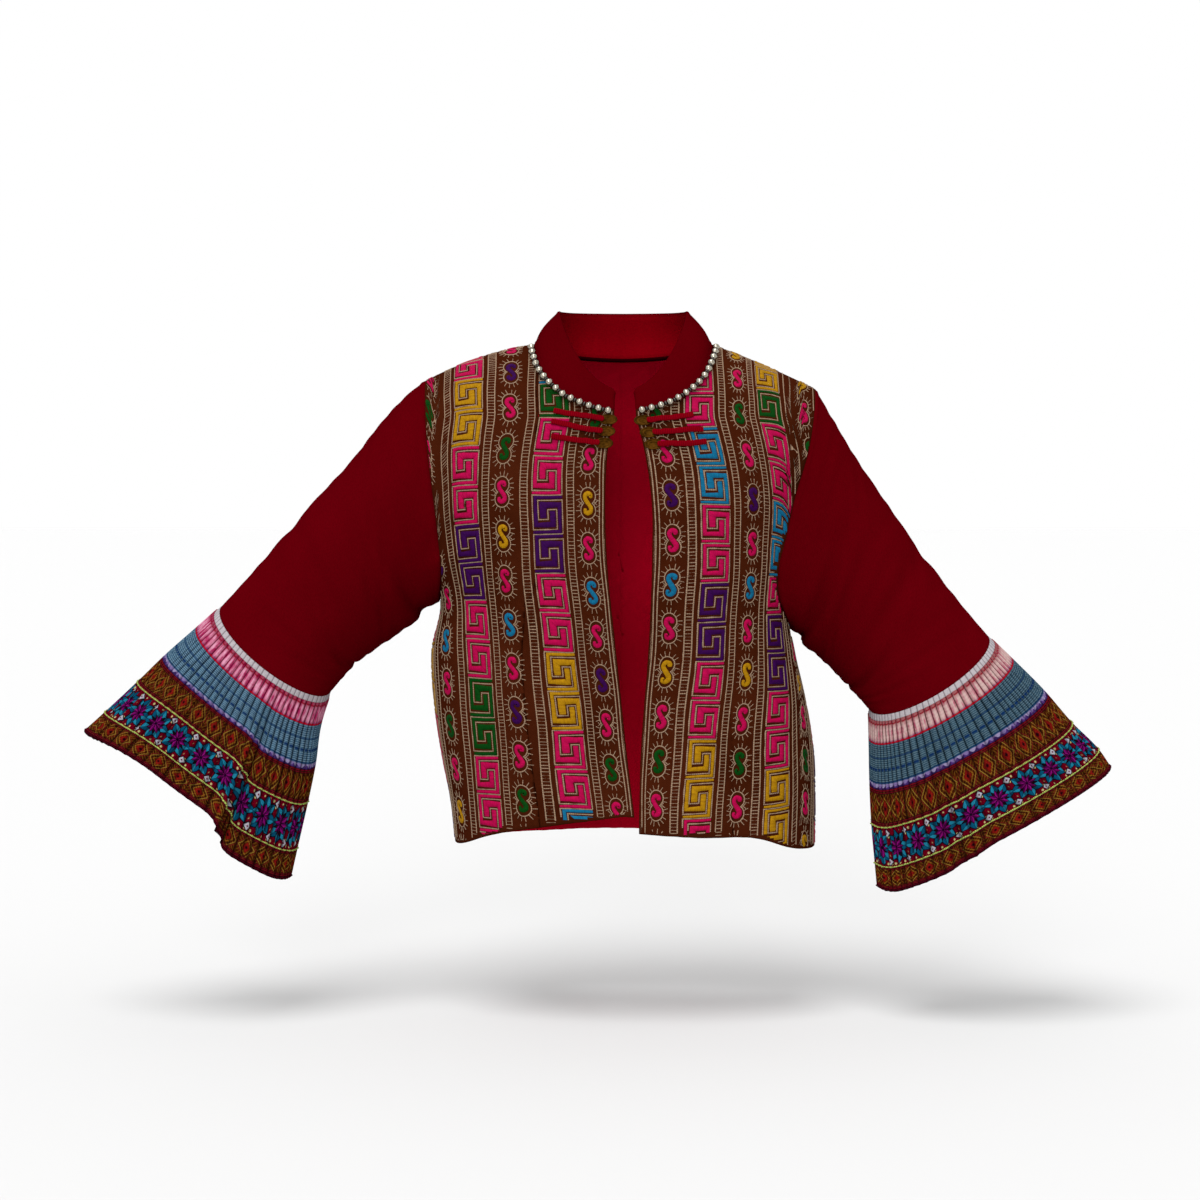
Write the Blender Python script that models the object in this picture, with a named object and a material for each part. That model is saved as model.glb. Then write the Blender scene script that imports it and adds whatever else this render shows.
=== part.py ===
"""Hmong embroidered jacket, held out as worn: embroidered body, plain sleeves, pleated flared cuffs.

Metres, +Z up.  The origin is midway between the two points where the neckline meets the shoulder
seams.  The front faces -Y.  Left and right are as seen from the front, so left is -X.
"""
import math

import bmesh
import bpy
import numpy as np

# Driving dimensions
NECK_HALF_WIDTH = 0.0965
FRONT_NECK_DROP = 0.0745
BACK_NECK_DROP = 0.016
SHOULDER_SLOPE = {"left": 0.14, "right": 0.36}
SHOULDER_CURVE = {"left": 1.6, "right": 0.6}
NECK_RISE = 0.15          # slope of the shoulder line carried on over the neck opening
FRONT_ARCH = 0.11         # height over which the front rolls over the shoulder
BACK_ARCH = 0.09
BODY_MIDDLE = (0.0, 0.0, -0.35)
ROUNDNESS = 2.3           # exponent of the body's horizontal sections

FRONT_WALL = 0.0018
BACK_WALL = 0.0016
LINING_WALL = 0.0010
COLLAR_WALL = 0.0024
SLEEVE_WALL = 0.0016
TAPE_WALL = 0.0014
CUFF_WALL = 0.0012
SEAM_GAP = 0.0004         # cut edge to cut edge at a seam
PLY_GAP = 0.0003          # face to face between two layers

# Body sections, half-widths and depths
BODY = {
    "z":     (-0.556, -0.500, -0.450, -0.390, -0.335, -0.280, -0.230, -0.170, -0.110, -0.060, 0.000),
    "left":  (0.1840, 0.1895, 0.1992, 0.2078, 0.2100, 0.2002, 0.2190, 0.2320, 0.2400, 0.2410, 0.2300),
    "right": (0.2112, 0.2115, 0.2100, 0.2005, 0.1880, 0.1800, 0.1945, 0.2085, 0.2250, 0.2340, 0.2300),
    "front": (0.1220, 0.1190, 0.1160, 0.1130, 0.1140, 0.1180, 0.1190, 0.1160, 0.1060, 0.0960, 0.0860),
    "back":  (0.1180, 0.1130, 0.1070, 0.1000, 0.0970, 0.1000, 0.1050, 0.1060, 0.1010, 0.0920, 0.0830),
}
# Distance of the armhole seam from the centre plane
ARMHOLE = {
    "z":     (-0.309, -0.279, -0.245, -0.210, -0.170, -0.115, -0.070, -0.040),
    "left":  (0.2046, 0.2004, 0.1975, 0.2000, 0.2046, 0.2115, 0.2150, 0.2165),
    "right": (0.1834, 0.1695, 0.1672, 0.1750, 0.1837, 0.2002, 0.2079, 0.2112),
}
UNDERARM = {"left": -0.279, "right": -0.309}
SHOULDER_TIP = {"left": 0.2165, "right": 0.2112}
# Centre front edges, which stand open
OPENING = {
    "z":     (-0.536, -0.435, -0.335, -0.236, -0.170, -0.115, -0.080),
    "left":  (0.0140, 0.0020, -0.0085, -0.0185, -0.0205, -0.0175, -0.0110),
    "right": (0.0165, 0.0190, 0.0265, 0.0305, 0.0300, 0.0220, 0.0135),
}
# Hem height at distances from the centre plane
HEM = {
    "x":     (0.000, 0.080, 0.147, 0.184, 0.215),
    "left":  (-0.5045, -0.5160, -0.5300, -0.5450, -0.5490),
    "right": (-0.5220, -0.5280, -0.5320, -0.5450, -0.5500),
    "back":  (-0.5460, -0.5470, -0.5480, -0.5480, -0.5500),
}
# Soft folds of the fronts: from (x0, z0) to (x1, z1), with width and depth
FOLDS = (
    {"x0": 0.146, "z0": -0.165, "x1": 0.172, "z1": -0.300, "width": 0.016, "depth": 0.009},
    {"x0": -0.172, "z0": -0.178, "x1": -0.196, "z1": -0.232, "width": 0.013, "depth": 0.006},
    {"x0": 0.105, "z0": -0.420, "x1": 0.132, "z1": -0.545, "width": 0.030, "depth": 0.006},
    {"x0": -0.100, "z0": -0.400, "x1": -0.120, "z1": -0.540, "width": 0.032, "depth": 0.005},
)
NECK_COLUMNS = 6          # cells of a panel between the centre and the neck point
SHOULDER_COLUMNS = 4      # cells between the neck point and the armhole
ROWS_BELOW = 4            # cells below the underarm
ROWS_ABOVE = 8            # cells beside the armhole

# Sleeve stations: upper and lower edge as distance from the centre and height, half depth, middle y
SLEEVE = {
    "left": (
        {"top": (0.2398, -0.0583), "low": (0.2185, -0.2955), "deep": 0.066, "y": 0.000},
        {"top": (0.2618, -0.0825), "low": (0.2365, -0.3102), "deep": 0.066, "y": -0.002},
        {"top": (0.2950, -0.1290), "low": (0.2700, -0.3330), "deep": 0.063, "y": -0.007},
        {"top": (0.3400, -0.1840), "low": (0.2925, -0.3490), "deep": 0.058, "y": -0.014},
        {"top": (0.3900, -0.2390), "low": (0.3080, -0.3660), "deep": 0.053, "y": -0.023},
        {"top": (0.4367, -0.2855), "low": (0.3201, -0.3806), "deep": 0.049, "y": -0.032},
    ),
    "right": (
        {"top": (0.2288, -0.0800), "low": (0.1969, -0.3278), "deep": 0.064, "y": 0.000},
        {"top": (0.2500, -0.1170), "low": (0.2150, -0.3430), "deep": 0.064, "y": -0.003},
        {"top": (0.2850, -0.1700), "low": (0.2350, -0.3620), "deep": 0.061, "y": -0.009},
        {"top": (0.3230, -0.2250), "low": (0.2490, -0.3770), "deep": 0.057, "y": -0.016},
        {"top": (0.3600, -0.2740), "low": (0.2600, -0.3890), "deep": 0.053, "y": -0.024},
        {"top": (0.3970, -0.3180), "low": (0.2690, -0.3995), "deep": 0.049, "y": -0.032},
    ),
}
SEAM_BOW = (0.000, 0.003, 0.007, 0.011, 0.015, 0.018)   # forward side of each station towards the hand

# Flared cuffs: edges at fractions of the way from the sleeve seam to the hem
CUFF = {
    "at": (0.00, 0.17, 0.40, 0.59, 0.84, 1.00),
    "left": {
        "top": ((0.4375, -0.2862), (0.4640, -0.3105), (0.4970, -0.3405), (0.5230, -0.3665),
                (0.5590, -0.4010), (0.5810, -0.4215)),
        "low": ((0.3205, -0.3814), (0.3310, -0.4150), (0.3375, -0.4595), (0.3450, -0.4960),
                (0.3570, -0.5480), (0.3640, -0.5790)),
    },
    "right": {
        "top": ((0.3975, -0.3187), (0.4240, -0.3450), (0.4580, -0.3800), (0.4840, -0.4110),
                (0.5130, -0.4410), (0.5255, -0.4600)),
        "low": ((0.2693, -0.4003), (0.2700, -0.4350), (0.2705, -0.4800), (0.2725, -0.5200),
                (0.2765, -0.5640), (0.2790, -0.5895)),
    },
    "deep": (0.049, 0.053, 0.060, 0.065, 0.071, 0.074),
    "y": (-0.032, -0.036, -0.041, -0.045, -0.050, -0.053),
    "bow": (0.018, 0.015, 0.012, 0.009, 0.006, 0.004),
}
# The largest fold of each cuff: how far round, from the upper edge, the hem's shift towards the
# hand before and after it, its width and its depth; and a softer one at the back
CUFF_FOLD = {
    "left": {"turn": 0.308, "before": -0.022, "after": 0.001, "width": 0.016, "depth": 0.010},
    "right": {"turn": 0.300, "before": -0.001, "after": 0.005, "width": 0.022, "depth": 0.009},
}
FOLD_START = 0.20         # the shift is full at this turn
BACK_FOLD = {"turn": 0.72, "rise": -0.010, "width": 0.09, "depth": 0.006}
TAPE_END = 0.034
PINK_END = 0.160
BATIK_END = 0.405
CUFF_GAP = 0.0020         # the seam gap as a fraction of the cuff's length
PLEATS = 48
TAPE_SIDES = 32
PLEAT_AT_SEAM = 0.0016    # ridge to mid-surface
PLEAT_AT_HEM = 0.0034

# Stand collar
COLLAR_TOP_HALF_WIDTH = 0.0700
COLLAR_TOP_FRONT = 0.066
COLLAR_TOP_BACK = 0.054
COLLAR_TOP_HEIGHT = 0.036
COLLAR_FRONT_DROP = 0.088
COLLAR_FALL = 1.6         # exponent of the top edge's fall to the front
COLLAR_ROWS = 4
COLLAR_BULGE = 0.05       # share of the distance from the neck's middle
COLLAR_CORNER = 0.006     # how far the top corners are rounded off

BEAD_RADIUS = 0.0043
THREAD_RADIUS = 0.0013
BEAD_PITCH = 0.0106
BEAD_SIDES = 6
BEAD_LIFT = 0.0010
BEAD_INSET = 0.0030        # bead row outside the neckline
NECK_LINE_POINTS = 41
NECK_LINE_SHORT = 0.09     # angle by which a bead row stops short of the shoulder seam

# Corded tabs: outer end and inner tip, each as x and z on the front
TABS = {
    "left": (
        {"outer": (-0.0745, -0.0755), "tip": (-0.0205, -0.0850)},
        {"outer": (-0.0770, -0.0870), "tip": (-0.0225, -0.0974)},
        {"outer": (-0.0770, -0.1025), "tip": (-0.0250, -0.1098)},
    ),
    "right": (
        {"outer": (0.0735, -0.0795), "tip": (0.0240, -0.0860)},
        {"outer": (0.0840, -0.0955), "tip": (0.0300, -0.0985)},
        {"outer": (0.0875, -0.1080), "tip": (0.0350, -0.1110)},
    ),
}
TAB_WIDTH = 0.0056
TAB_THICKNESS = 0.0024
DISC_WIDTH = 0.0200
DISC_HEIGHT = 0.0118
DISC_THICKNESS = 0.0014
DISC_LIFT = 0.0007        # a flat disc on the curved front
TAB_LIFT = 0.0005

SIGN = {"left": -1.0, "right": 1.0}


def unit(v):
    return v / max(np.linalg.norm(v), 1e-12)


def smooth(keys, values, at):
    """Value of a smooth curve through a table's rows, level beyond its ends."""
    if at <= keys[0]:
        return values[0]
    if at >= keys[-1]:
        return values[-1]
    slopes = np.gradient(values, keys)
    k = int(np.searchsorted(keys, at)) - 1
    span = keys[k + 1] - keys[k]
    t = (at - keys[k]) / span
    return (values[k] * (2 * t**3 - 3 * t**2 + 1) + slopes[k] * span * (t**3 - 2 * t**2 + t)
            + values[k + 1] * (3 * t**2 - 2 * t**3) + slopes[k + 1] * span * (t**3 - t**2))


# ---------------------------------------------------------------- body surface

def half_width(side, z):
    return smooth(BODY["z"], BODY[side], z)


def angle_at(side, x, z):
    """Angle round the section, from the centre, of a distance x from the centre plane."""
    share = min(abs(x) / half_width(side, z), 1.0)
    return math.copysign(math.asin(share ** (ROUNDNESS / 2)), x * SIGN[side])


def ridge(x):
    """Height of the shoulder line."""
    out = abs(x) - NECK_HALF_WIDTH
    if out < 0:
        return -NECK_RISE * out
    side = "left" if x < 0 else "right"
    return -SHOULDER_SLOPE[side] * out - SHOULDER_CURVE[side] * out**2


def fold_depth(x, z):
    total = 0.0
    for fold in FOLDS:
        along = (z - fold["z0"]) / (fold["z1"] - fold["z0"])
        if 0.0 < along < 1.0:
            middle = fold["x0"] + along * (fold["x1"] - fold["x0"])
            off = (x - middle) / fold["width"]
            total += fold["depth"] * math.sin(math.pi * along) * math.exp(-off * off)
    return total


def body_point(side, face, angle, z):
    """Outer surface of the body at an angle round the section and a height."""
    power = 2 / ROUNDNESS
    x = SIGN[side] * half_width(side, z) * math.copysign(abs(math.sin(angle)) ** power, angle)
    round_off = abs(math.cos(angle)) ** power
    arch = FRONT_ARCH if face == "front" else BACK_ARCH
    down = min(max(ridge(x) - z, 0.0) / arch, 1.0)
    depth = smooth(BODY["z"], BODY[face], z) * round_off * math.sqrt(1 - (1 - down) ** 2)
    if face == "front":
        return np.array((x, -depth + fold_depth(x, z) * min(down * 4, 1.0) - PLY_GAP / 2, z))
    return np.array((x, depth + PLY_GAP / 2, z))


def front_point(x, z):
    side = "left" if x < 0 else "right"
    return body_point(side, "front", angle_at(side, x, z), z)


def front_normal(x, z):
    step = 0.002
    across = front_point(x + step, z) - front_point(x - step, z)
    up = front_point(x, z + step) - front_point(x, z - step)
    return unit(np.cross(across, up))


def edge_angle(side, face, z):
    if face == "back":
        return 0.0
    x = smooth(OPENING["z"], OPENING[side], z)
    return angle_at(side, x, z)


def side_angle(side, z):
    if z <= UNDERARM[side]:
        return math.pi / 2
    return angle_at(side, SIGN[side] * smooth(ARMHOLE["z"], ARMHOLE[side], z), z)


def top_height(face, x):
    if abs(x) >= NECK_HALF_WIDTH:
        return ridge(x)
    drop = FRONT_NECK_DROP if face == "front" else BACK_NECK_DROP
    return -drop * math.sqrt(1 - (x / NECK_HALF_WIDTH) ** 2)


def column_tops(side, face):
    """Distances from the centre of the column tops: along the neckline, then along the shoulder."""
    start = 0.0
    if face == "front":
        start = math.asin(abs(smooth(OPENING["z"], OPENING[side], -FRONT_NECK_DROP)) / NECK_HALF_WIDTH)
    neck = [NECK_HALF_WIDTH * math.sin(start + (math.pi / 2 - start) * k / NECK_COLUMNS)
            for k in range(NECK_COLUMNS)]
    reach = SHOULDER_TIP[side] - NECK_HALF_WIDTH
    return neck + [NECK_HALF_WIDTH + reach * k / SHOULDER_COLUMNS for k in range(SHOULDER_COLUMNS + 1)]


def hem_height(side, face, share):
    z = HEM[side if face == "front" else "back"][0]
    for _ in range(6):
        x = body_point(side, face, column_angle(side, face, share, z), z)[0]
        z = smooth(HEM["x"], HEM[side if face == "front" else "back"], abs(x))
    return z


def column_angle(side, face, share, z):
    edge = edge_angle(side, face, z)
    return edge + share * (side_angle(side, z) - edge)


def row_shares(side):
    """Heights of the rows as shares of the side column: even to the underarm, then by cosine."""
    low = hem_height(side, "front", 1.0)
    high = ridge(SIGN[side] * SHOULDER_TIP[side])
    below = [low + (UNDERARM[side] - low) * k / ROWS_BELOW for k in range(ROWS_BELOW)]
    above = [UNDERARM[side] + (high - UNDERARM[side]) * (1 - math.cos(math.pi * k / ROWS_ABOVE)) / 2
             for k in range(ROWS_ABOVE + 1)]
    return [(z - low) / (high - low) for z in below + above]


def half_panel(side, face):
    """Points of one side of the front or back, [column][row], from the centre outwards."""
    columns = []
    for top_x in column_tops(side, face):
        top = top_height(face, SIGN[side] * top_x)
        edge = edge_angle(side, face, top)
        share = (angle_at(side, SIGN[side] * top_x, top) - edge) / (side_angle(side, top) - edge)
        low = hem_height(side, "front" if share == 1.0 else face, share)
        columns.append([body_point(side, face, column_angle(side, face, share, z), z)
                        for z in (low + (top - low) * part for part in row_shares(side))])
    return np.array(columns)


def grid_normals(points, closed, outward):
    """Unit normals of a grid; outward is a rough direction for each point that picks their side."""
    if closed:
        across = np.roll(points, -1, axis=0) - np.roll(points, 1, axis=0)
    else:
        across = np.gradient(points, axis=0)
    along = np.gradient(points, axis=1)
    normals = np.cross(across, along)
    normals /= np.maximum(np.linalg.norm(normals, axis=2, keepdims=True), 1e-12)
    flip = np.sign((normals * outward).sum(axis=2, keepdims=True))
    return normals * np.where(flip == 0, 1, flip)


def panel_normals(points, seam_columns):
    """Body normals, turned square to the seam plane where front meets back."""
    normals = grid_normals(points, False, points - np.array(BODY_MIDDLE))
    for column in seam_columns:
        normals[column, :ROWS_BELOW + 1, 1] = 0.0
        normals[column, -1, 1] = 0.0
    for column in range(len(points)):
        if abs(points[column, -1, 0]) > NECK_HALF_WIDTH - 0.0001:
            normals[column, -1, 1] = 0.0
    return normals / np.linalg.norm(normals, axis=2, keepdims=True)


# ---------------------------------------------------------------- solids

def material(name, colour, roughness, metallic=0.0):
    made = bpy.data.materials.new(name)
    made.use_nodes = True
    shader = made.node_tree.nodes["Principled BSDF"]
    shader.inputs["Base Color"].default_value = (*colour, 1.0)
    shader.inputs["Roughness"].default_value = roughness
    shader.inputs["Metallic"].default_value = metallic
    return made


def finish(name, bm, look):
    bmesh.ops.recalc_face_normals(bm, faces=bm.faces)
    mesh = bpy.data.meshes.new(name)
    bm.to_mesh(mesh)
    bm.free()
    mesh.shade_smooth()
    mesh.set_sharp_from_angle(angle=math.radians(40))
    mesh.materials.append(look)
    made = bpy.data.objects.new(name, mesh)
    bpy.context.collection.objects.link(made)
    return made


def wall(name, outer, inner, closed, look):
    """A closed wall between two grids of points, [round][along]; a closed one is a tube."""
    bm = bmesh.new()
    grids = [[[bm.verts.new(p) for p in line] for line in grid] for grid in (outer, inner)]
    around, along = len(outer), len(outer[0])
    for grid in grids:
        for i in range(around if closed else around - 1):
            a, b = grid[i], grid[(i + 1) % around]
            for j in range(along - 1):
                bm.faces.new((a[j], b[j], b[j + 1]))
                bm.faces.new((a[j], b[j + 1], a[j + 1]))
    for i in range(around if closed else around - 1):
        k = (i + 1) % around
        for j in (0, along - 1):
            bm.faces.new((grids[0][i][j], grids[0][k][j], grids[1][k][j], grids[1][i][j]))
    if not closed:
        for i in (0, around - 1):
            for j in range(along - 1):
                bm.faces.new((grids[0][i][j], grids[0][i][j + 1], grids[1][i][j + 1], grids[1][i][j]))
    bmesh.ops.triangulate(bm, faces=[face for face in bm.faces if len(face.verts) > 3])
    return finish(name, bm, look)


def seam_ring(points, normals, spots):
    """Edge points of a panel with their normals and the way out of the panel across its edge."""
    ring = []
    for (i, j), (before, after), neighbours in spots:
        point, normal = points[i, j], normals[i, j]
        tangent = unit(points[after] - points[before])
        away = sum(unit(point - points[n]) for n in neighbours)
        away = away - tangent * away.dot(tangent)
        away = away - normal * away.dot(normal)
        ring.append((point, normal, unit(away)))
    return ring


def leave_edge(point, away, own_normal, thickness):
    """Outer and inner start of a wall sewn on at a cut edge, kept clear of that edge."""
    normal = unit(own_normal - away * max(own_normal.dot(away), 0.0))
    outer = point + SEAM_GAP * away
    return outer, outer - thickness * normal


# ---------------------------------------------------------------- pieces

def build_body(brown, red):
    """Fronts, back and back lining; returns the seams that the sleeves and collar are sewn to."""
    seams = {}
    last = NECK_COLUMNS + SHOULDER_COLUMNS
    rows = ROWS_BELOW + ROWS_ABOVE
    for side in ("left", "right"):
        points = half_panel(side, "front")
        normals = panel_normals(points, (last,))
        wall(f"front_{side}", points, points - FRONT_WALL * normals, False, brown)
        seams[side, "front"] = armhole_seam(points, normals, last, -1, rows)
        seams[side, "neck"] = neck_seam(points, normals, range(NECK_COLUMNS + 1), rows)
    halves = half_panel("left", "back"), half_panel("right", "back")
    points = np.concatenate((halves[0][:0:-1], halves[1]))
    normals = panel_normals(points, (0, 2 * last))
    wall("back", points, points - BACK_WALL * normals, False, brown)
    skin = BACK_WALL + PLY_GAP
    lining = points - skin * normals
    wall("back_lining", lining, lining - LINING_WALL * normals, False, red)
    seams["left", "back"] = armhole_seam(points, normals, 0, 1, rows)
    seams["right", "back"] = armhole_seam(points, normals, 2 * last, -1, rows)
    neck = range(last - NECK_COLUMNS, last + NECK_COLUMNS + 1)
    seams["back", "neck"] = neck_seam(points, normals, neck, rows)
    return seams


def armhole_seam(points, normals, column, inward, rows):
    """The armhole edge from the underarm to the shoulder tip."""
    spots = []
    for j in range(ROWS_BELOW, rows + 1):
        before = (column + inward, j) if j == ROWS_BELOW else (column, j - 1)
        after = (column, min(j + 1, rows)) if j < rows else (column, j)
        neighbours = [(column + inward, j)]
        if j == ROWS_BELOW:
            after = (column, j)
            neighbours = [(column, j - 1)]
        spots.append(((column, j), (before, after), neighbours))
    return seam_ring(points, normals, spots)


def neck_seam(points, normals, columns, rows):
    columns = list(columns)
    spots = []
    for i in columns:
        before, after = max(i - 1, columns[0]), min(i + 1, columns[-1])
        spots.append(((i, rows), ((before, rows), (after, rows)), [(i, rows - 1)]))
    return seam_ring(points, normals, spots)


def station_ring(side, top, low, deep, middle, bow, turns):
    """An oval through an upper and a lower edge point; its forward half bows towards the hand."""
    sign = SIGN[side]
    upper = np.array((sign * top[0], middle, top[1]))
    lower = np.array((sign * low[0], middle, low[1]))
    across = (upper - lower) / 2
    hand = unit(np.array((sign * abs(across[2]), 0.0, -abs(across[0]))))
    forward = np.array((0.0, -deep, 0.0)) + hand * bow
    return [(upper + lower) / 2 + across * math.cos(t) + forward * math.sin(t) for t in turns]


def build_sleeve(side, seams, look):
    """Tube from the armhole seam to the cuff seam."""
    front, back = seams[side, "front"], seams[side, "back"]
    joined = [tuple(unit(a + b) if k else (a + b) / 2 for k, (a, b) in enumerate(zip(f, r)))
              for f, r in ((front[0], back[0]), (front[-1], back[-1]))]
    root = [joined[0]] + front[1:-1] + [joined[1]] + back[-2:0:-1]
    root[0] = (root[0][0], root[0][1], np.array((0.0, 0.0, 1.0)))
    count = len(root)
    turns = [math.pi - 2 * math.pi * k / count for k in range(count)]
    rings = [[point + SEAM_GAP * away for point, _, away in root]]
    for station, bow in zip(SLEEVE[side], SEAM_BOW):
        rings.append(station_ring(side, station["top"], station["low"], station["deep"],
                                  station["y"], bow, turns))
    outer = np.array(rings).transpose(1, 0, 2)
    normals = grid_normals(outer, True, outer - outer.mean(axis=0))
    normals = flat_end(normals, outer)
    inner = outer - SLEEVE_WALL * normals
    for k, (point, _, away) in enumerate(root):
        outer[k, 0], inner[k, 0] = leave_edge(point, away, normals[k, 0], SLEEVE_WALL)
    wall(f"sleeve_{side}", outer, inner, True, look)


def flat_end(normals, points):
    """Lays the normals of the last ring in that ring's plane, so that its cut edge is flat."""
    ring = points[:, -1]
    quarter = len(ring) // 4
    axis = unit(np.cross(ring[0] - ring[2 * quarter], ring[quarter] - ring[3 * quarter]))
    last = normals[:, -1] - np.outer(normals[:, -1] @ axis, axis)
    normals[:, -1] = last / np.linalg.norm(last, axis=1, keepdims=True)
    return normals


def cuff_point(side, turn, v):
    """Mid-surface of a cuff at a turn from its upper edge, 0 to 1 by way of the front."""
    edges = CUFF[side]
    at = CUFF["at"]
    top = [smooth(at, [p[k] for p in edges["top"]], v) for k in (0, 1)]
    low = [smooth(at, [p[k] for p in edges["low"]], v) for k in (0, 1)]
    deep, middle, bow = (smooth(at, CUFF[name], v) for name in ("deep", "y", "bow"))
    point = station_ring(side, top, low, deep, middle, bow, (2 * math.pi * turn,))[0]
    start = np.array((SIGN[side] * top[0], middle, top[1]))
    end = np.array((SIGN[side] * low[0], middle, low[1]))
    hand = unit(np.array((SIGN[side] * abs(start[2] - end[2]), 0.0, -abs(start[0] - end[0]))))
    shift, inward = cuff_fold(side, turn)
    return point + hand * shift * v**1.5 + np.array((0.0, inward * v, 0.0))


def ramp(value):
    value = min(max(value, 0.0), 1.0)
    return value * value * (3 - 2 * value)


def cuff_fold(side, turn):
    """Shift towards the hand, and the way in from the forward side, at the hem."""
    fold = CUFF_FOLD[side]
    off = (turn - fold["turn"]) / fold["width"]
    past = 0.5 * (1 + math.tanh(off))
    shift = (fold["before"] * ramp(turn / FOLD_START) * (1 - past)
             + fold["after"] * past * (1 - ramp((turn - 0.42) / 0.08)))
    behind = math.exp(-((turn - BACK_FOLD["turn"]) / BACK_FOLD["width"]) ** 2)
    inward = fold["depth"] * 1.6 * off * math.exp(-off * off) - BACK_FOLD["depth"] * behind
    return shift + BACK_FOLD["rise"] * behind, inward


def cuff_normal(side, turn, v):
    step = 0.004
    across = cuff_point(side, (turn + step) % 1.0, v) - cuff_point(side, (turn - step) % 1.0, v)
    along = cuff_point(side, turn, min(v + step, 1.0)) - cuff_point(side, turn, max(v - step, 0.0))
    normal = unit(np.cross(across, along))
    centre = (cuff_point(side, 0.0, v) + cuff_point(side, 0.5, v)) / 2
    return normal if normal.dot(cuff_point(side, turn, v) - centre) > 0 else -normal


def cuff_band(name, side, sections, count, pleated, thickness, look):
    """One strip of a cuff between its first and last section, pleated by a zigzag."""
    outer, inner = [], []
    for k in range(count):
        turn = k / count
        lines = [], []
        for v in sections:
            normal = cuff_normal(side, turn, v)
            if v < PINK_END:
                hand = unit(np.cross(cuff_point(side, 0.0, v) - cuff_point(side, 0.5, v),
                                     cuff_point(side, 0.25, v) - cuff_point(side, 0.75, v)))
                normal = unit(normal - hand * normal.dot(hand))
            height = PLEAT_AT_SEAM + (PLEAT_AT_HEM - PLEAT_AT_SEAM) * v
            lift = height * (1 if k % 2 else -1) if pleated else 0.0
            point = cuff_point(side, turn, v) + normal * lift
            lines[0].append(point)
            lines[1].append(point - thickness * normal)
        outer.append(lines[0])
        inner.append(lines[1])
    wall(name, outer, inner, True, look)


def build_cuff(side, looks):
    gap = CUFF_GAP
    cuff_band(f"cuff_tape_{side}", side, (gap / 2, TAPE_END), TAPE_SIDES, False, TAPE_WALL,
              looks["tape"])
    pleated = 2 * PLEATS
    cuff_band(f"cuff_pink_band_{side}", side, (TAPE_END + gap, PINK_END), pleated, True, CUFF_WALL,
              looks["pink"])
    cuff_band(f"cuff_batik_band_{side}", side, (PINK_END + gap, BATIK_END), pleated, True, CUFF_WALL,
              looks["batik"])
    middle = (BATIK_END + 1) / 2
    cuff_band(f"cuff_border_{side}", side, (BATIK_END + gap, middle, 1.0), pleated, True, CUFF_WALL,
              looks["border"])


def collar_top(point, share):
    """Top edge above a neckline point; share runs from the front end (0) to the centre back (1)."""
    turn = math.pi * share
    x = math.copysign(COLLAR_TOP_HALF_WIDTH * math.sin(turn), point[0])
    front = max(math.cos(turn), 0.0)
    depth = COLLAR_TOP_FRONT if turn < math.pi / 2 else COLLAR_TOP_BACK
    height = COLLAR_TOP_HEIGHT - COLLAR_FRONT_DROP * front**COLLAR_FALL
    return np.array((x, -depth * math.cos(turn), height))


def build_collar(seams, look):
    """Stand collar sewn to the neckline, from one front end round the back to the other."""
    left, back, right = seams["left", "neck"], seams["back", "neck"], seams["right", "neck"]
    base = left[:-1] + [join_spots(left[-1], back[0])] + back[1:-1]
    base += [join_spots(back[-1], right[-1])] + right[-2::-1]
    outer = []
    for point, _, away in base:
        around = point[0] / NECK_HALF_WIDTH
        share = math.asin(max(min(abs(around), 1.0), 0.0)) / math.pi
        share = share if point[1] < 0.001 else 1 - share
        top = collar_top(point, share)
        start = point + SEAM_GAP * away
        bulge = np.array((point[0], point[1], 0.0)) * COLLAR_BULGE
        line = []
        for k in range(COLLAR_ROWS):
            up = k / (COLLAR_ROWS - 1)
            line.append(start + (top - start) * up + bulge * math.sin(math.pi * up))
        outer.append(line)
    outer = np.array(outer)
    for end, inside in ((0, 1), (-1, -2)):
        outer[end, -1] += unit(outer[inside, -1] - outer[end, -1]) * COLLAR_CORNER
        outer[end, -1, 2] -= COLLAR_CORNER
    normals = grid_normals(outer, False, outer * np.array((1.0, 1.0, 0.0)))
    inner = outer - COLLAR_WALL * normals
    for k, (point, _, away) in enumerate(base):
        outer[k, 0], inner[k, 0] = leave_edge(point, away, normals[k, 0], COLLAR_WALL)
    wall("collar", outer, inner, False, look)


def join_spots(a, b):
    return (a[0] + b[0]) / 2, unit(a[1] + b[1]), unit(a[2] + b[2])


def neck_line(side, lift, inset):
    """Fine points beside one front's neckline, from the front end to the shoulder seam."""
    start = math.asin(abs(smooth(OPENING["z"], OPENING[side], -FRONT_NECK_DROP)) / NECK_HALF_WIDTH)
    turns = np.linspace(start, math.pi / 2 - NECK_LINE_SHORT, NECK_LINE_POINTS)
    return np.array([neck_line_point(side, turn, lift, inset) for turn in turns])


def neck_line_point(side, turn, lift, inset):
    """Point this far off the cloth and this far outside the front neckline."""
    x = SIGN[side] * (NECK_HALF_WIDTH + inset) * math.sin(turn)
    z = min(-(FRONT_NECK_DROP + inset) * math.cos(turn), ridge(x) - 1e-6)
    angle, turned, step = angle_at(side, x, z), 0.01, 0.0005
    middle = body_point(side, "front", angle, z)
    across = body_point(side, "front", angle + turned, z) - body_point(side, "front", angle - turned, z)
    normal = unit(np.cross(across, body_point(side, "front", angle, z - step) - middle))
    return middle + lift * normal * (1 if normal[2] > 0 else -1)


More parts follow.
